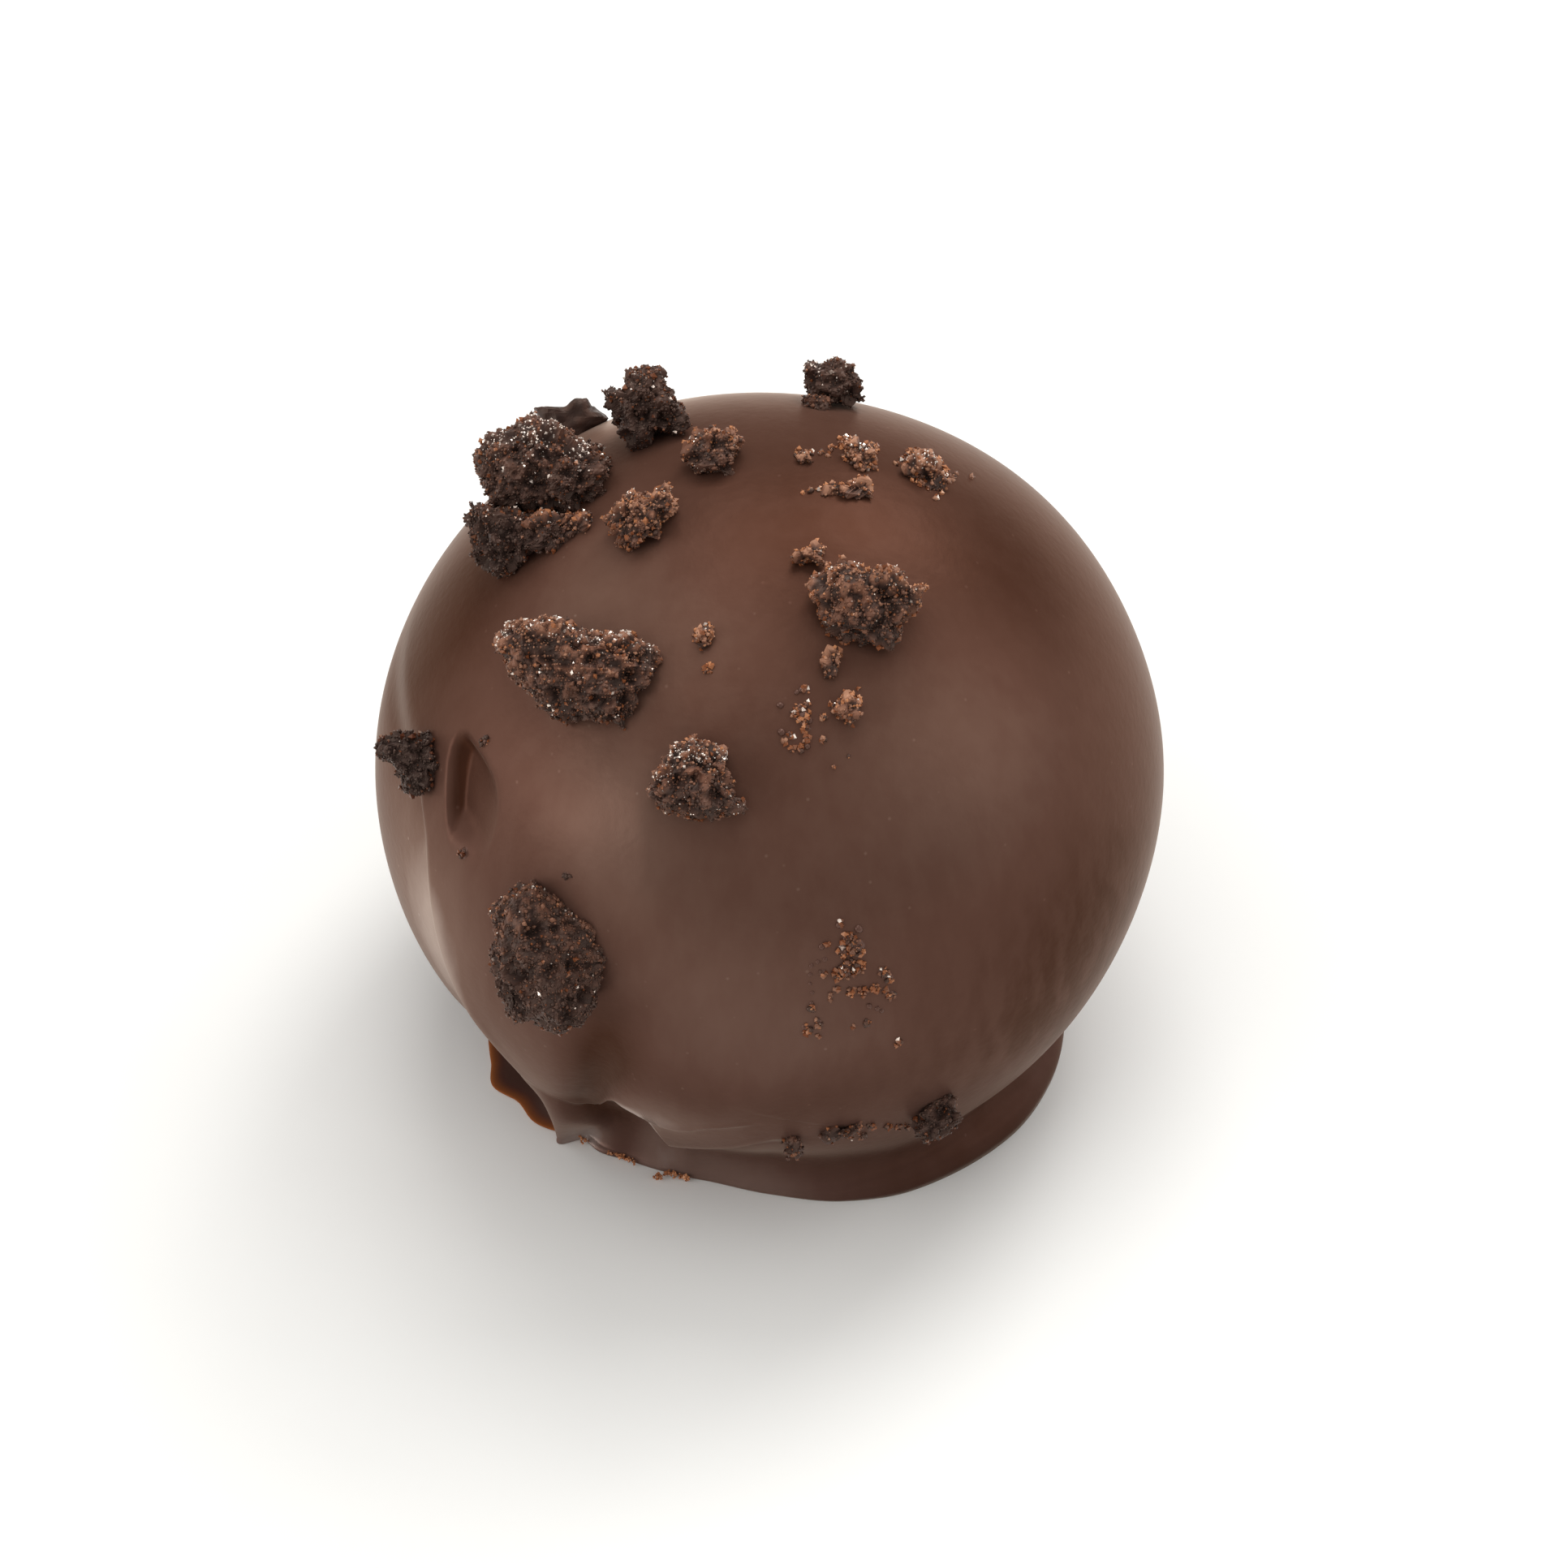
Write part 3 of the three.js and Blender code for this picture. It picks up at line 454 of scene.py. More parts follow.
def side_flat(bearing, tilt):
    """The side left of the ridge line is pressed in, with a rounded crest along the ridge."""
    left = -apart(bearing, through(RIDGE_LINE, tilt))
    crest = CREST["height"] * bell(left / CREST["half"]) * fade(tilt, *CREST["tilts"])
    pressed = FLAT["depth"] * fade(tilt, *FLAT["tilts"]) * fade(left, *FLAT["edge"])
    return crest - pressed * (1 - fade(left, *FLAT["behind"]))


def run(line, shape, bearing, tilt):
    """A bell across a line on the ball, narrower and further out or in as it falls."""
    grown = fade(tilt, *shape["tilts"])
    return shape["height"] * grown * bell(arc_from(line, bearing, tilt) / between(shape["half"], grown))


def layer(bearing, tilt):
    """A second coat ends in a thin rounded step, and the flap under it stands lower."""
    below = BALL_RADIUS * np.radians(tilt - through(LAYER_LINE, bearing)) / LAYER["round"]
    edge = LAYER["crest"] * bell(below) - LAYER["step"] * smooth(below + 0.5)
    return band(bearing, *LAYER["band"]) * edge


def fold(shape, bearing, tilt):
    """A rounded crest over a line on the ball.

    It falls off on each side by powers of e, and fades over a third of its length towards both ends.
    """
    corners = np.array(shape["line"], float)
    corners = place(corners[:, 0], *on_ball(BALL_RADIUS, corners[:, 1]))
    points = place(bearing, *on_ball(BALL_RADIUS, tilt))
    steps = np.diff(corners, axis=0)
    lengths = np.linalg.norm(steps, axis=1)
    gone = np.concatenate([[0], np.cumsum(lengths)])
    nearest = np.full(points.shape[:-1], np.inf)
    along, side = np.zeros_like(nearest), np.zeros_like(nearest)
    for corner, step, length, before in zip(corners, steps, lengths, gone):
        share = np.clip((points - corner) @ step / length ** 2, 0, 1)
        off = points - corner - share[..., None] * step
        far = np.linalg.norm(off, axis=-1)
        closer = far < nearest
        nearest = np.where(closer, far, nearest)
        along = np.where(closer, before + share * length, along)
        side = np.where(closer, (np.cross(step, points - BALL_MIDDLE) * off).sum(-1), side)
    away = (np.hypot(nearest, shape["round"]) - shape["round"]) / np.where(side > 0, *shape["half"])
    third = gone[-1] / 3
    return shape["rise"] * np.exp(-away - away ** 2 / 6) * band(along, 0, third, gone[-1], third)


def dent_walls(bearing, tilt):
    """How far up each wall of the dent a place is, 0 at the rims and 1 at the crease.

    The last value is 1 along the dent and 0 past both ends.
    """
    right = BALL_RADIUS * math.sin(math.radians(DENT["tilt"])) * np.radians(apart(bearing, DENT["bearing"]))
    up = BALL_RADIUS * np.radians(DENT["tilt"] - tilt)
    left_rim, crease, right_rim = (through(line, up) for line in (DENT_LEFT, DENT_CREASE, DENT_RIGHT))
    left, right = (right - left_rim) / (crease - left_rim), (right_rim - right) / (right_rim - crease)
    return np.clip(left, 0, 1), np.clip(right, 0, 1), band(up, *DENT["band"])


def dent(bearing, tilt):
    """A groove between two walls, each a parabola that is steep at its rim and level at the crease."""
    left, right, along = dent_walls(bearing, tilt)
    return DENT["depth"] * (1 - (1 - np.minimum(left, right)) ** 2) * along


def ball_radius(bearing, tilt):
    """Radius of the coated ball in one direction, with swells, folds, flat, drip, dent and valley."""
    at = np.broadcast_arrays(bearing, tilt)
    raised = sum(mound(shape, *at) for shape in SWELLS) + run(DRIP_LINE, DRIP, *at)
    raised = raised + sum(fold(shape, *at) for shape in FOLDS) + layer(*at)
    return BALL_RADIUS + raised - dent(*at) + side_flat(*at) + run(VALLEY_LINE, VALLEY, *at)


def coat_profile(bearing):
    """Rows of (distance, height) down the ball to the lip, under it, down the wall and round the nose.

    The lip is a quarter turn, the wall a cubic Bezier curve and the nose part of an ellipse.
    """
    lip_tilt = around(LIP_TILT, bearing)
    share = np.concatenate([np.linspace(*rows)[1:] for rows in BALL_ROWS])[:, None]
    tilt = share * MEAN_LIP + (lip_tilt - MEAN_LIP) * smooth((share - SIDE_SHARE) / (1 - SIDE_SHARE))
    ball = np.stack(on_ball(ball_radius(bearing, tilt), tilt), -1)

    turn = np.linspace(0, 1, LIP_ROWS + 1)[1:, None]
    radius = ball_radius(bearing, lip_tilt) - around(LIP_DEPTH, bearing) * (1 - np.cos(turn * math.pi / 2))
    lip = np.stack(on_ball(radius, lip_tilt + LIP_TURN * np.sin(turn * math.pi / 2)), -1)

    top = lip[-1]
    foot_radius, foot_height = around(FOOT_RADIUS, bearing), around(FOOT_HEIGHT, bearing)
    run_out, foot_low = np.radians(around(RUN_OUT, bearing)), FOOT_LOW * foot_height
    nose = (foot_height - foot_low) * (1 - np.sin(run_out)) / np.cos(run_out) + around(FLANGE, bearing)
    crease = np.stack([foot_radius - nose, foot_height], -1)
    pull = WALL_PULL * np.linalg.norm(top - crease, axis=-1)[:, None]
    lip_down = np.radians(lip_tilt)
    near = top + pull * np.stack([np.cos(lip_down), -np.sin(lip_down)], -1)
    far = crease + pull * np.stack([-np.cos(run_out), np.sin(run_out)], -1)
    t = np.linspace(0, 1, WALL_ROWS + 1)[1:, None, None]
    wall = (1 - t) ** 3 * top + 3 * t * (1 - t) ** 2 * near + 3 * t * t * (1 - t) * far + t ** 3 * crease

    leg = bell(apart(bearing, between(LEG["bearing"], t[..., 0])) / between(LEG["half"], t[..., 0]))
    straight = top + t * (crease + [LEG["reach"], 0] - top)
    wall = wall + leg[..., None] * (straight - wall)
    nose = np.maximum(foot_radius - wall[-1, :, 0], LEAST_NOSE)

    turn = run_out + (math.pi / 2 - run_out) * np.linspace(0, 1, NOSE_ROWS + 1)[1:, None]
    out = nose * (np.sin(turn) - np.sin(run_out)) / (1 - np.sin(run_out))
    down = foot_low + (foot_height - foot_low) * np.cos(turn) / np.cos(run_out)
    round_off = np.stack([wall[-1, :, 0] + out, down], -1)
    base = np.stack([round_off[-1, :, 0] - FOOT_TUCK, 0 * foot_radius], -1)[None]
    return np.concatenate([ball, lip, wall, round_off, base])


def coat_surface():
    """The profile carried round the axis, with a point on top and one under the base."""
    turn = np.linspace(-180, 180, BEARINGS, endpoint=False)
    bearing = turn - CROWDING * np.sin(np.radians(turn - CROWDED_AT))
    rows = coat_profile(bearing)
    grid = place(bearing, rows[..., 0], rows[..., 1])
    return closed_grid(grid, [0, 0, BALL_HEIGHT + ball_radius(0, 0)], [0, 0, 0])


def patch(shape, points):
    """A bell over the distance from a place on the ball, with its own size level and up and down."""
    middle = place(shape["bearing"], *on_ball(BALL_RADIUS, shape["tilt"]))
    out = (middle - BALL_MIDDLE) / BALL_RADIUS
    level = place(shape["bearing"] + 90, 1, 0)
    sizes = shape["wide"], shape["tall"], max(shape["wide"], shape["tall"])
    off = (points - middle) @ np.stack([level, np.cross(out, level), out], 1) / sizes
    return shape["tone"] * bell(np.linalg.norm(off, axis=-1))


def bearing_tilt(off):
    """Bearings and tilts of points given from the ball's middle."""
    tilt = np.degrees(np.arccos(np.clip(off[:, 2] / np.linalg.norm(off, axis=1), -1, 1)))
    return np.degrees(np.arctan2(off[:, 0], -off[:, 1])), tilt


def coat_painted_light(points):
    """How pale each point of the coat is: painted highlights and shade in patches, painted highlights on the
    crests of folds, ridge, side and lip, and painted shade in valley, dent and slit.
    """
    bearing, tilt = bearing_tilt(points - BALL_MIDDLE)
    relief = FOLD_TONE * sum(fold(shape, bearing, tilt) for shape in FOLDS)
    relief += VALLEY_TONE * run(VALLEY_LINE, VALLEY, bearing, tilt) + DENT_TONE * dent(bearing, tilt)
    left, _, along = dent_walls(bearing, tilt)
    relief += SLIT_TONE * smooth(SLIT_EDGE * left) * smooth(SLIT_END * (1 - left)) * along
    side = -arc_from(RIDGE_LINE, bearing, tilt)
    relief += RIDGE_TONE * band(tilt, *RIDGE_BAND) * bell(side / RIDGE_HALF)
    relief += SIDE_TONE * band(tilt, *SIDE_TILTS) * band(side, *SIDE_REACH)
    relief += around(LIP_PALE, bearing) * bell((tilt - around(LIP_TILT, bearing)) / LIP_HALF)
    return COAT_TONE_LEVEL + relief + sum(patch(shape, points) for shape in PAINTED_LIGHT_PATCHES)


def coat_thin(points):
    """1 at the edge of the foot's thin sheet, falling to 0 inwards and where the sheet ends."""
    bearing, _ = bearing_tilt(points - BALL_MIDDLE)
    inside = around(FOOT_RADIUS, bearing) - np.hypot(points[:, 0], points[:, 1])
    low = points[:, 2] < around(FOOT_HEIGHT, bearing) + THIN["above"]
    return low * fade(around(FLANGE, bearing), *THIN["flange"]) * smooth(1 - inside / THIN["width"])


# ---------------- meshes

def closed_grid(grid, first, last):
    """Points and faces of rows that go round, closed by a point before the first row and after the last."""
    rows, cols = grid.shape[:2]
    index = np.arange(rows * cols).reshape(rows, cols)
    nxt = np.roll(index, -1, axis=1)
    quads = np.stack([index[:-1], index[1:], nxt[1:], nxt[:-1]], -1).reshape(-1, 4)
    start, end = np.full(cols, rows * cols), np.full(cols, rows * cols + 1)
    caps = [np.stack([start, index[0], nxt[0]], -1), np.stack([end, nxt[-1], index[-1]], -1)]
    points = np.concatenate([grid.reshape(-1, 3), [first], [last]])
    return points, quads.tolist() + np.concatenate(caps).tolist()


def mesh_object(name, points, faces, material):
    """An object at the origin, from points in millimetres."""
    mesh = bpy.data.meshes.new(name)
    mesh.from_pydata((np.asarray(points) * MM).tolist(), [], faces)
    mesh.materials.append(material)
    made = bpy.data.objects.new(name, mesh)
    bpy.context.scene.collection.objects.link(made)
    return made


def piece(name, points, faces, material, slot, smooth_faces=True, values=None):
    """A mesh object that rides on the truffle's one body, with named values at its points."""
    made = mesh_object(name, points, faces, material)
    made.data.polygons.foreach_set("use_smooth", [smooth_faces] * len(faces))
    for key, numbers in (values or {}).items():
        held = made.data.attributes.new(key, "FLOAT", "POINT")
        held.data.foreach_set("value", np.asarray(numbers, np.float32))
    made.data.update()
    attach(made, "root")
    return made


# ---------------- crumbs

def on_coat(bearing, tilt, rise=0):
    """Points a given height above the coated ball."""
    return place(bearing, *on_ball(ball_radius(bearing, tilt) + rise, tilt))


def outline_reach(corners, x, y):
    """Distance from the middle to a closed outline of corners, along directions in its plane."""
    a = np.array(corners, float)
    side = np.roll(a, -1, axis=0) - a
    x, y = x[..., None], y[..., None]
    turn = x * side[:, 1] - y * side[:, 0]
    turn = np.where(np.abs(turn) < TINY, TINY, turn)
    along = (a[:, 0] * side[:, 1] - a[:, 1] * side[:, 0]) / turn
    share = (a[:, 0] * y - a[:, 1] * x) / turn
    return np.where((along > 0) & (share >= -CLOSE) & (share <= 1 + CLOSE), along, 0).max(-1)


def grid_normals(grid):
    """Outward unit normals of closed rows, from the differences to the neighbours."""
    down = np.gradient(grid, axis=0)
    across = np.roll(grid, -1, axis=1) - np.roll(grid, 1, axis=1)
    normal = np.cross(down, across)
    return normal / np.maximum(np.linalg.norm(normal, axis=-1, keepdims=True), TINY)


def waves(points, length, random, count=24):
    """Sum of sine waves in random directions: smooth uneven lumps, mostly within -1 to 1."""
    ways = random.normal(size=(count, 3))
    ways /= np.linalg.norm(ways, axis=1, keepdims=True)
    rates = 2 * math.pi / (length * random.uniform(*WAVE_LENGTHS, count))
    phases = random.uniform(0, 2 * math.pi, count)
    return np.sin(points @ (ways * rates[:, None]).T + phases).sum(-1) / math.sqrt(count)


def strewn_domes(points, area, sizes, per_mm2, random):
    """Height of the highest of many half balls of random sizes, spread evenly over a surface."""
    count = max(int(area.sum() * per_mm2), 1)
    middles = points[random.choice(len(points), count, p=area / area.sum())]
    squares = (points ** 2).sum(-1)[:, None] + (middles ** 2).sum(-1) - 2 * points @ middles.T
    return np.sqrt(np.maximum(random.uniform(*sizes, count) ** 2 - squares, 0)).max(1)


def painted_top_light(points, middle, span):
    """Painted shade low at the bottom of a crumb and painted light high at its top, as seen from the front
    and above.
    """
    return between(PAINTED_TOP_TONES, smooth((points - middle) @ UP / span[1] + 0.5))


def directions(rows, cols):
    """Directions in rows that go round an axis: the share along it, and the two shares across it."""
    polar = np.linspace(0, math.pi, rows + 2)[1:-1, None]
    turn = np.linspace(0, 2 * math.pi, cols, endpoint=False)
    return np.broadcast_arrays(np.cos(polar), np.sin(polar) * np.cos(turn), np.sin(polar) * np.sin(turn))


def crumb_grid(crumb, middle, span):
    """A boxy lump, as rows that go round.

    Each direction is scaled to a box with round edges: its share in the look plane and its share towards the
    viewer, both to the power of the boxiness, add up to 1. The first is then stretched to the outline and the
    second to half the thickness. From a crest line the front falls off evenly to both sides.
    """
    cols = int(2 * math.pi * math.hypot(span[1] / 2, crumb["half"]) / CELL_WIDTH / CRUMB_STEP)
    rows = int((span[0] + crumb["half"]) * ROW_SHARE / CRUMB_STEP)
    x, y, z = directions(rows, cols)
    level = np.maximum(np.hypot(x, y), TINY)
    boxed = (level ** CRUMB_BOXINESS + np.abs(z) ** CRUMB_BOXINESS) ** (-1 / CRUMB_BOXINESS)
    reach = outline_reach(crumb["corners"], x / level, y / level) * boxed
    deep = crumb["half"] * z * boxed
    if "crest" in crumb:
        off = np.stack([reach * x, reach * y, np.ones_like(reach)], -1) @ crumb["crest"]
        deep = deep - np.where(off < 0, *crumb["falls"]) * np.abs(off) * smooth(z * boxed)
    return middle + (reach * x)[..., None] * RIGHT + (reach * y)[..., None] * UP + deep[..., None] * TOWARD


def crumb_core(crumb, random):
    """The boxy lump, covered in half-ball bumps and hollows. Its tone is painted shade in hollows and painted
    light on bumps.
    """
    middle = on_coat(crumb["bearing"], crumb["tilt"], crumb["rise"])
    span = np.ptp(np.array(crumb["corners"], float), axis=0)
    grid = crumb_grid(crumb, middle, span)
    rugged = crumb.get("bumps", 1)

    flat, normals = grid.reshape(-1, 3), grid_normals(grid).reshape(-1, 3)
    step = np.gradient(grid, axis=0), np.roll(grid, -1, axis=1) - grid
    area = np.linalg.norm(np.cross(*step), axis=-1).ravel()
    bump = strewn_domes(flat - middle, area, BUMP_SIZES, BUMPS_PER_MM2, random) * rugged
    hollows = HOLLOWS_PER_MM2 * crumb.get("hollows", 1)
    hollow = strewn_domes(flat - middle, area, HOLLOW_SIZES, hollows, random)
    lump = waves(flat, LUMP_LENGTHS[0], random) + 0.5 * waves(flat, LUMP_LENGTHS[1], random)
    lump = LUMP_HEIGHT * lump * crumb.get("lumps", 1)
    inset = PIT_DEPTH * min(1, crumb["half"] / PIT_FULL) * rugged
    rough = ROUGHNESS * random.uniform(-1, 1, len(flat)) * rugged
    flat = flat + normals * (lump + bump - hollow - inset + rough)[:, None]
    cols = grid.shape[1]
    points, faces = closed_grid(flat.reshape(grid.shape), flat[:cols].mean(0), flat[-cols:].mean(0))

    # Painted light towards a crumb's top and painted shade towards its bottom
    light = painted_top_light(flat, middle, span)
    # Painted light on bumps and painted shade in hollows
    high = CORE_TONE["level"] + CORE_TONE["bump"] * bump / BUMP_SIZES[1] - CORE_TONE["hollow"] * hollow
    high = np.clip(high + CORE_TONE["cloud"] * waves(flat, CORE_TONE["cloud length"], random), 0, 1)
    tone = np.append(high * between(CORE_TONES, crumb["light"]) * light, 2 * [CORE_TONE["level"]])
    return points, faces, tone, flat, normals, area, light


def join(parts):
    """Points and faces of many meshes as one."""
    offsets = np.cumsum([0] + [len(points) for points, _ in parts])
    faces = [[i + offset for i in face] for (_, own), offset in zip(parts, offsets) for face in own]
    return np.concatenate([points for points, _ in parts]), faces


def grain_shape():
    """A crystal of radius 1 with a point at each end of three axes and a face between every three."""
    points = np.concatenate([np.eye(3), -np.eye(3)])
    faces = [[0, 1, 2], [1, 3, 2], [3, 4, 2], [4, 0, 2], [1, 0, 5], [3, 1, 5], [4, 3, 5], [0, 4, 5]]
    return points, np.array(faces)


def drop_shape(rows=6, cols=12):
    """A ball of radius 1 as rows of quads closed by a point at each end, in triangles."""
    along, *across = directions(rows, cols)
    points, faces = closed_grid(np.stack([*across, along], -1), [0, 0, 1], [0, 0, -1])
    split = [[face[0], *pair] for face in faces for pair in zip(face[1:], face[2:])]
    return points, np.array(split)


def scattered(places, sizes, random, shape, uneven=0.22, stretch=(0.65, 1.2)):
    """Copies of a shape with uneven corners, each stretched, and turned at random by a unit quaternion."""
    points, faces = shape
    count = len(places)
    turns = random.normal(size=(4, count)).T[:, None]
    turns /= np.linalg.norm(turns, axis=-1, keepdims=True)
    rough = 1 + random.uniform(-uneven, uneven, (count, len(points), 1))
    local = points * random.uniform(*stretch, (count, 1, 3)) * rough * sizes[:, None, None]
    aside = 2 * np.cross(turns[..., 1:], local)
    made = places[:, None] + local + turns[..., :1] * aside + np.cross(turns[..., 1:], aside)
    offsets = np.arange(count)[:, None, None] * len(points)
    return made.reshape(-1, 3), (faces + offsets).reshape(-1, 3).tolist()


def spread_sizes(sizes, count, random):
    """Sizes between two limits, as many in each doubling."""
    return sizes[0] * (sizes[1] / sizes[0]) ** random.uniform(0, 1, count)


def spread_tones(light, count, random):
    """Tones of grains that are lighter or darker than the crumb's own at random, before their limits."""
    return between(GRAIN_TONES, light) * random.uniform(*TONE_SPREAD, count)


def sort_grains(points, normals, crumb, random):
    """Kind of each grain: more amber on sides and upper edges as a painted glow of light through thin edges,
    and clusters of glints on what faces up as painted highlights.
    """
    sides = 1 - np.abs(normals @ TOWARD)
    upper = np.clip(normals @ UP, 0, 1)
    draw = random.uniform(0, 1, len(normals))
    cluster = smooth(0.5 + waves(points, CLUSTER_LENGTH, random))
    glint = GLINT_SHARE * crumb["glint"] * (GLINT_WEIGHTS[0] + GLINT_WEIGHTS[1] * upper) * cluster
    amber = crumb["amber"] * (np.array(AMBER_WEIGHTS) @ [np.ones_like(sides), sides, upper])
    return kinds_of(draw, glint, amber)


def kinds_of(draw, glint, amber):
    """Kinds from even draws and the shares of two kinds."""
    return np.where(draw < glint, "glint", np.where(draw < glint + amber, "amber", "dark"))


def crumb_grains(crumb, points, normals, area, light, random):
    """Places, sizes, kinds and tones of the grains that stand out from one crumb."""
    count = int(area.sum() * GRAINS_PER_MM2 * crumb.get("grains", 1))
    at = random.choice(len(points), count, p=area / area.sum())
    at = at[np.linalg.norm(points[at] - BALL_MIDDLE, axis=1) > BALL_RADIUS - GRAIN_SINK]
    tooth = random.uniform(0, 1, len(at)) < TOOTH_SHARE
    sizes = [spread_sizes(limits, len(at), random) for limits in (TOOTH_SIZES, GRAIN_SIZES)]
    # The grains take the crumb's painted top light and bottom shade too
    tones = np.clip(spread_tones(crumb["light"], len(at), random) * light[at], 0, 1)
    kinds = sort_grains(points[at], normals[at], crumb, random)
    grown = np.where(kinds == "glint", GLINT_SIZE, np.where(kinds == "amber", AMBER_SIZE, 1))
    sizes = np.where(tooth, *sizes) * grown
    return points[at] + normals[at] * sizes[:, None] * GRAIN_LIFT, sizes, kinds, tones


def seen_on_coat(at, right, up):
    """Bearings and tilts of points on the coat that show a given way right and up of a place on it.

    Each point is moved along the line of sight until it is as far from the middle as the place is.
    """
    start = on_coat(at["bearing"], at["tilt"]) - BALL_MIDDLE
    off = start + right[:, None] * RIGHT + up[:, None] * UP
    depth = off @ TOWARD
    back = np.sqrt(np.maximum((start ** 2).sum() - (off ** 2).sum(-1) + depth ** 2, 0)) - depth
    return bearing_tilt(off + back[:, None] * TOWARD)


def loose_grains(group, random):
    """Places, sizes, kinds and tones of loose grains, heaped over round spots on the coat."""
    counts = [LEAST_LOOSE + int(LOOSE_PER_MM2 * r * r) for *_, r in group["spots"]]
    right, up, radius = np.repeat(group["spots"], counts, 0).T
    count, radius = len(right), radius * LOOSE_SPREAD
    turn, out = random.uniform(0, 2 * math.pi, count), radius * np.sqrt(random.uniform(0, 1, count))
    bearing, tilt = seen_on_coat(group, right + out * np.cos(turn), up + out * np.sin(turn))
    rise = LOOSE_HEAP * random.uniform(0, 1, count) * np.sqrt(np.maximum(radius ** 2 - out ** 2, 0))
    sizes = spread_sizes(LOOSE_SIZES, count, random)
    kinds = kinds_of(random.uniform(0, 1, count), LOOSE_GLINTS, group["amber"])
    tones = np.clip(spread_tones(group["light"], count, random), 0, 1)
    return on_coat(bearing, tilt, rise), sizes, kinds, tones


def edge_grains(group, random):
    """Places, sizes, kinds and tones of amber grains in a low heap along the edge of the foot."""
    count = group["count"]
    bearing = random.uniform(group["start"], group["end"], count)
    radius = group["radius"] + random.normal(0, EDGE_SCATTER, count)
    sizes = spread_sizes(EDGE_SIZES, count, random)
    places = place(bearing, radius, random.uniform(*EDGE_HEIGHTS, count))
    return places, sizes, np.full(count, "amber"), random.uniform(*EDGE_TONES, count)


def film_drops():
    """Smooth bumps half sunk in the coat, and low mounds of coat under the loose grains."""
    random = np.random.default_rng(CRUMB_SEED + 1)
    places, sizes = [], []
    for groups, spread, sink in ((FILM, 1, FILM_SINK), (LOOSE, MOUND_SPREAD, MOUND_SINK)):
        for group in groups:
            right, up, radius = np.array(group["spots"]).T
            places.append(on_coat(*seen_on_coat(group, right, up), sink * radius * spread))
            sizes.append(radius * spread)
    places, sizes = np.concatenate(places), np.concatenate(sizes)
    made = scattered(places, sizes, random, drop_shape(), FILM_UNEVEN, FILM_STRETCH)
    return piece("film_drops", *made, film(), "chocolate")


def crumb_pieces():
    """All crumb cores as one mesh, and the grains on them and beside them as one mesh for each kind."""
    random = np.random.default_rng(CRUMB_SEED)
    cores, tones, grains = [], [], []
    for crumb in CRUMBS:
        points, faces, tone, *core = crumb_core(crumb, random)
        cores.append((points, faces))
        tones.append(tone)
        grains.append(crumb_grains(crumb, *core, random))
    grains += [loose_grains(group, random) for group in LOOSE]
    grains += [edge_grains(group, random) for group in EDGE_BITS]
    made = [piece("crumbs", *join(cores), cake("cake"), "crumb", False, {"tone": np.concatenate(tones)})]
    places, sizes, kinds, tones = (np.concatenate(all_of) for all_of in zip(*grains))
    for kind in ("dark", "amber", "glint"):
        own, shape = kinds == kind, grain_shape()
        points, faces = scattered(places[own], sizes[own], random, shape)
        values = {"tone": np.repeat(tones[own], len(shape[0]))}
        made.append(piece(kind + "_grains", points, faces, cake(kind), "crumb", kind == "dark", values))
    return made


# ---------------- materials

class Shader:
    """A material's node tree, with short calls to add nodes and to fill their inputs."""

    def __init__(self, name):
        self.material = bpy.data.materials.new(name)
        self.material.use_nodes = True
        self.tree = self.material.node_tree

    def fill(self, node, inputs):
        """Joins a node's inputs, by name or number, to sockets, or sets their values."""
        for key, value in inputs.items():
            if isinstance(value, bpy.types.NodeSocket):
                self.tree.links.new(value, node.inputs[key])
            else:
                node.inputs[key].default_value = value

    def node(self, kind, inputs=None, output=0, **settings):
        """Adds a node and gives one of its outputs."""
        made = self.tree.nodes.new("ShaderNode" + kind)
        for name, value in settings.items():
            setattr(made, name, value)
        self.fill(made, inputs or {})
        return made.outputs[output]

    def value(self, name):
        """A named value of the mesh's points."""
        return self.node("Attribute", output="Fac", attribute_name=name)

    def noise(self, place_on, scale, detail):
        """Smooth noise in space."""
        return self.node("TexNoise", {"Vector": place_on, "Scale": scale, "Detail": detail}, "Fac")

    def spread(self, value, before, after):
        """A value taken from one pair of limits to another."""
        limits = dict(zip(("From Min", "From Max", "To Min", "To Max"), (*before, *after)))
        return self.node("MapRange", {"Value": value, **limits})

    def ramp(self, factor, stops):
        """A colour ramp with a stop at each of the positions."""
        colour = self.node("ValToRGB", {"Fac": factor})
        elements = colour.node.color_ramp.elements
        while len(elements) < len(stops):
            elements.new(1)
        for element, (position, tone) in zip(elements, stops):
            element.position, element.color = position, (*tone, 1)
        return colour

    def finish(self, **values):
        """Sets the surface and gives the material."""
        self.fill(self.tree.nodes["Principled BSDF"], {key.replace("_", " "): v for key, v in values.items()})
        return self.material


COAT_TONES = [
    (0, (0.057, 0.0215, 0.0122)), (0.4, (0.107, 0.0525, 0.0375)), (0.7, (0.168, 0.099, 0.074)),
    (1, (0.39, 0.3, 0.25)),
]
THIN_TONES = [(0.25, (0.1, 0.028, 0.018)), (1, (0.27, 0.082, 0.024))]
PAINTED_LIGHT_TINTS = [(0, (0.95, 1, 1.08)), (1, (1.02, 0.975, 0.94))]  # painted cool light low on the truffle and painted warm light high on it
TINT_HEIGHTS = (0.003, 0.026)  # in metres, as the textures are
CLOUDS, STREAKS, FINE = (110, 3), (1100, 3), (2600, 2)  # scale and detail of each noise
CLOUD_TONE = 0.12
MOTTLE_TONE, STREAK_SPAN, STREAK_TURN = 0.32, (0.35, 0.65), (0.4, 0.5, 0)
SPECK_TONE, SPECK_SPAN, SPECK_SCALE = 0.2, (0.02, 0.085), 900
FILM_TONE = (0.11, 0.053, 0.038, 1)


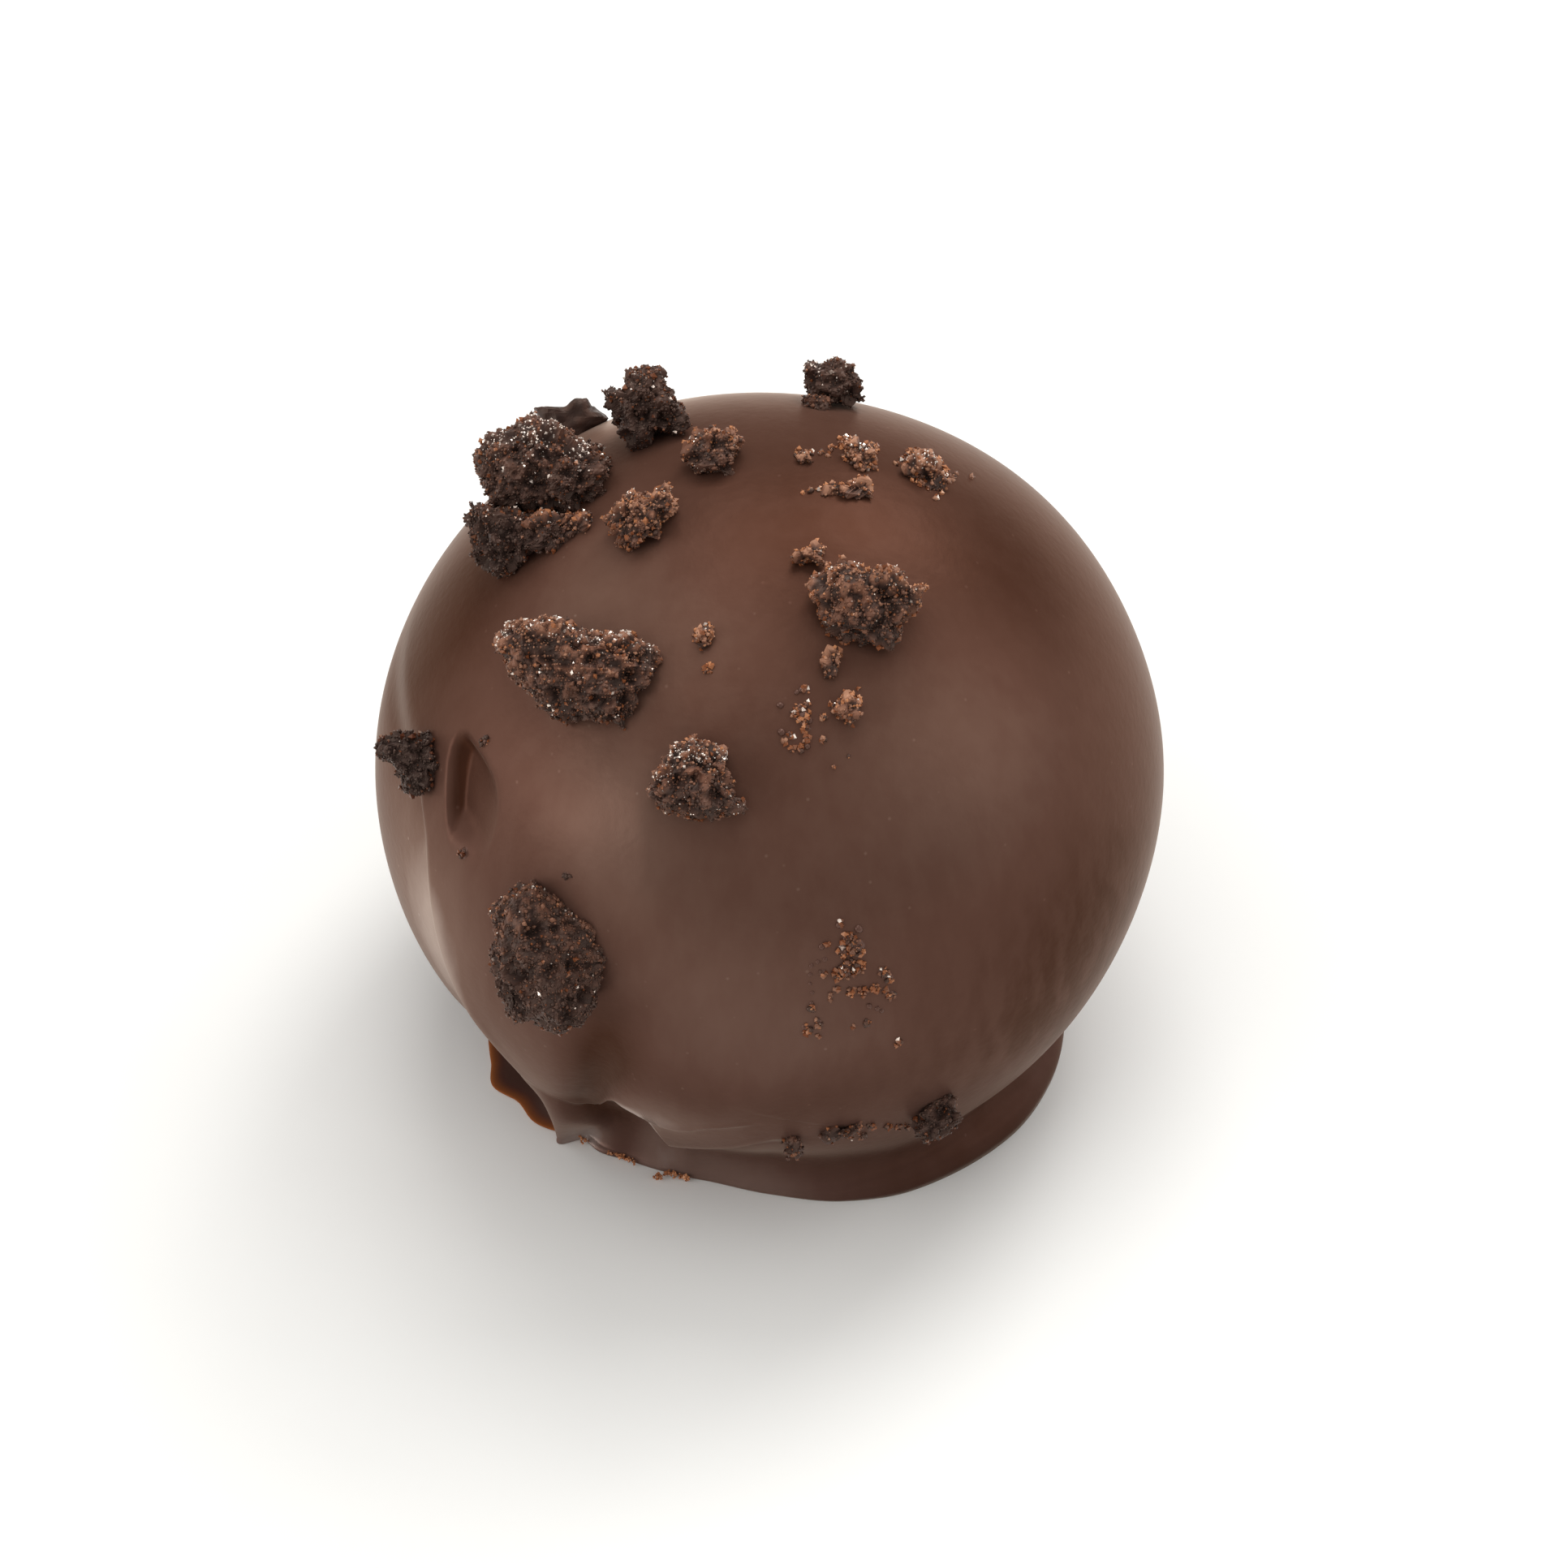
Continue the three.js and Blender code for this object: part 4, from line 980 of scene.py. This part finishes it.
def chocolate():
    """Set milk-dark chocolate: satin, with clouds, slanted streaks and pale specks, redder where thin."""
    shader = Shader("chocolate")
    place_on = shader.node("TexCoord", output="Object")
    clouds = shader.noise(place_on, *CLOUDS)
    fine = shader.noise(place_on, *FINE)
    # The coat's tone holds painted highlights and painted shade, with random clouds added
    tone = shader.node("Math", {0: clouds, 1: CLOUD_TONE, 2: shader.value("bloom")}, operation="MULTIPLY_ADD")
    slanted = shader.node("Mapping", {"Vector": place_on, "Rotation": STREAK_TURN, "Scale": (1, 1, 0.4)})
    streaks = shader.noise(slanted, *STREAKS)
    streak = shader.spread(streaks, STREAK_SPAN, (-0.5 * MOTTLE_TONE, 0.5 * MOTTLE_TONE))
    tone = shader.node("Math", {0: streak, 1: shader.value("mottle"), 2: tone}, operation="MULTIPLY_ADD")
    cells = shader.node("TexVoronoi", {"Vector": place_on, "Scale": SPECK_SCALE}, "Distance")
    speck = shader.spread(cells, SPECK_SPAN, (SPECK_TONE, 0))
    tone = shader.node("Math", {0: speck, 1: tone}, operation="ADD")
    thin = shader.value("thin")
    solid, lit = shader.ramp(tone, COAT_TONES), shader.ramp(thin, THIN_TONES)
    edge = shader.node("Mix", {"Factor": thin, 6: solid, 7: lit}, 2, data_type="RGBA")
    # Painted warm light high on the truffle and painted cool light low on it
    height = shader.node("SeparateXYZ", {"Vector": place_on}, "Z")
    tint = shader.ramp(shader.spread(height, TINT_HEIGHTS, (0, 1)), PAINTED_LIGHT_TINTS)
    mixed = {"Factor": 1.0, 6: edge, 7: tint}
    return shader.finish(
        Base_Color=shader.node("Mix", mixed, 2, data_type="RGBA", blend_type="MULTIPLY"),
        Metallic=0.3,
        Roughness=0.36,
        IOR=1.08,
        Specular_Tint=(1, 0.8, 0.67, 1),
        Sheen_Weight=0.16,
        Sheen_Roughness=0.25,
        Sheen_Tint=(1, 0.82, 0.66, 1),
        Normal=shader.node("Bump", {"Strength": 0.12, "Distance": 0.0001, "Height": fine}),
    )


CAKE_TONES = [
    (0, (0.042, 0.026, 0.022)), (0.3, (0.078, 0.041, 0.031)), (0.6, (0.185, 0.081, 0.05)),
    (1, (0.46, 0.232, 0.142)),
]
AMBER_TONES = [(0, (0.085, 0.026, 0.014)), (0.5, (0.25, 0.08, 0.032)), (1, (0.55, 0.235, 0.11))]
GLINT_TONES = [(0, (0.55, 0.42, 0.35)), (0.6, (0.9, 0.78, 0.68))]
CAKES = {  # cake, and grains: glossier dark ones, red-brown to orange ones, and bright sugar crystals
    "cake": (CAKE_TONES, {"Roughness": 0.38, "IOR": 1.32, "Specular_Tint": (1, 0.72, 0.56, 1)}),
    "dark": (CAKE_TONES, {"Roughness": 0.26, "IOR": 1.4, "Specular_Tint": (1, 0.74, 0.58, 1)}),
    "amber": (AMBER_TONES, {"Roughness": 0.18, "IOR": 1.5, "Specular_Tint": (1, 0.78, 0.58, 1)}),
    "glint": (GLINT_TONES, {"Metallic": 0.6, "Roughness": 0.2, "IOR": 1.6}),
}


def cake(kind):
    """Cake or grains of one kind, each point or grain with its own tone."""
    shader = Shader(kind if kind == "cake" else kind + " grain")
    tones, surface = CAKES[kind]
    return shader.finish(Base_Color=shader.ramp(shader.value("tone"), tones), **surface)


def film():
    """Thin coat over a grain: chocolate with a wet gloss."""
    return Shader("film").finish(Base_Color=FILM_TONE, Metallic=0.3, Roughness=0.22, IOR=1.3)


# ---------------- stage

def floor():
    """A wide pale disc under the truffle."""
    rim = place(np.linspace(0, 360, FLOOR_SIDES, endpoint=False), FLOOR_RADIUS, 0)
    table_top = Shader("table").finish(Base_Color=(0.9, 0.892, 0.86, 1), Roughness=0.6)
    mesh_object("floor", rim, [list(range(FLOOR_SIDES))], table_top)


def soft_light(light):
    """A soft panel that faces the ball from a bearing and a height, with its width and height as angles."""
    data = bpy.data.lights.new(light["name"], "AREA")
    data.shape, data.energy = "RECTANGLE", light["power"]
    angles = math.radians(light["wide"]), math.radians(light["tall"])
    data.size, data.size_y = (2 * LIGHT_DISTANCE * math.tan(angle / 2) * MM for angle in angles)
    rise = math.radians(light["elevation"])
    direction = Vector(place(light["bearing"], math.cos(rise), math.sin(rise)))
    lamp = bpy.data.objects.new(light["name"], data)
    lamp.location = (Vector(BALL_MIDDLE) + direction * LIGHT_DISTANCE) * MM
    lamp.rotation_euler = direction.to_track_quat("Z", "Y").to_euler()
    bpy.context.scene.collection.objects.link(lamp)


def lights():
    """An even white surround and the soft panels."""
    world = bpy.data.worlds.new("studio")
    bpy.context.scene.world = world
    world.use_nodes = True
    background = world.node_tree.nodes["Background"].inputs
    background["Color"].default_value = (1, 1, 1, 1)
    background["Strength"].default_value = WORLD_STRENGTH
    for light in LIGHTS:
        soft_light(light)


def camera():
    """Looks down at 45 degrees from the front, and is moved sideways so that the ball shows at its place."""
    data = bpy.data.cameras.new("camera")
    data.lens, data.sensor_width = LENS_MM, SENSOR_MM
    data.clip_start, data.clip_end = 0.01, 10
    made = bpy.data.objects.new("camera", data)
    per_pixel = CAMERA_DISTANCE / (LENS_MM / SENSOR_MM * FRAME_PIXELS)
    across, down = (at - FRAME_PIXELS / 2 for at in BALL_AT)
    eye = BALL_MIDDLE + TOWARD * CAMERA_DISTANCE - RIGHT * across * per_pixel + UP * down * per_pixel
    made.location = (eye * MM).tolist()
    made.rotation_euler = (math.radians(90 - LOOK_ELEVATION), 0, 0)
    bpy.context.scene.collection.objects.link(made)
    bpy.context.scene.camera = made


# ---------------- the truffle

bpy.context.scene.view_settings.view_transform = "Standard"
camera()
lights()
floor()
points, faces = coat_surface()
# The coat's tone holds painted highlights and painted shade
values = {"bloom": coat_painted_light(points) - CLOUD_TONE / 2, "thin": coat_thin(points),
          "mottle": patch(MOTTLE, points) + BASE_MOTTLE}
coat = piece("coat", points, faces, chocolate(), "chocolate", values=values)
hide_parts("truffle")
for made in crumb_pieces() + [film_drops()]:
    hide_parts("truffle")
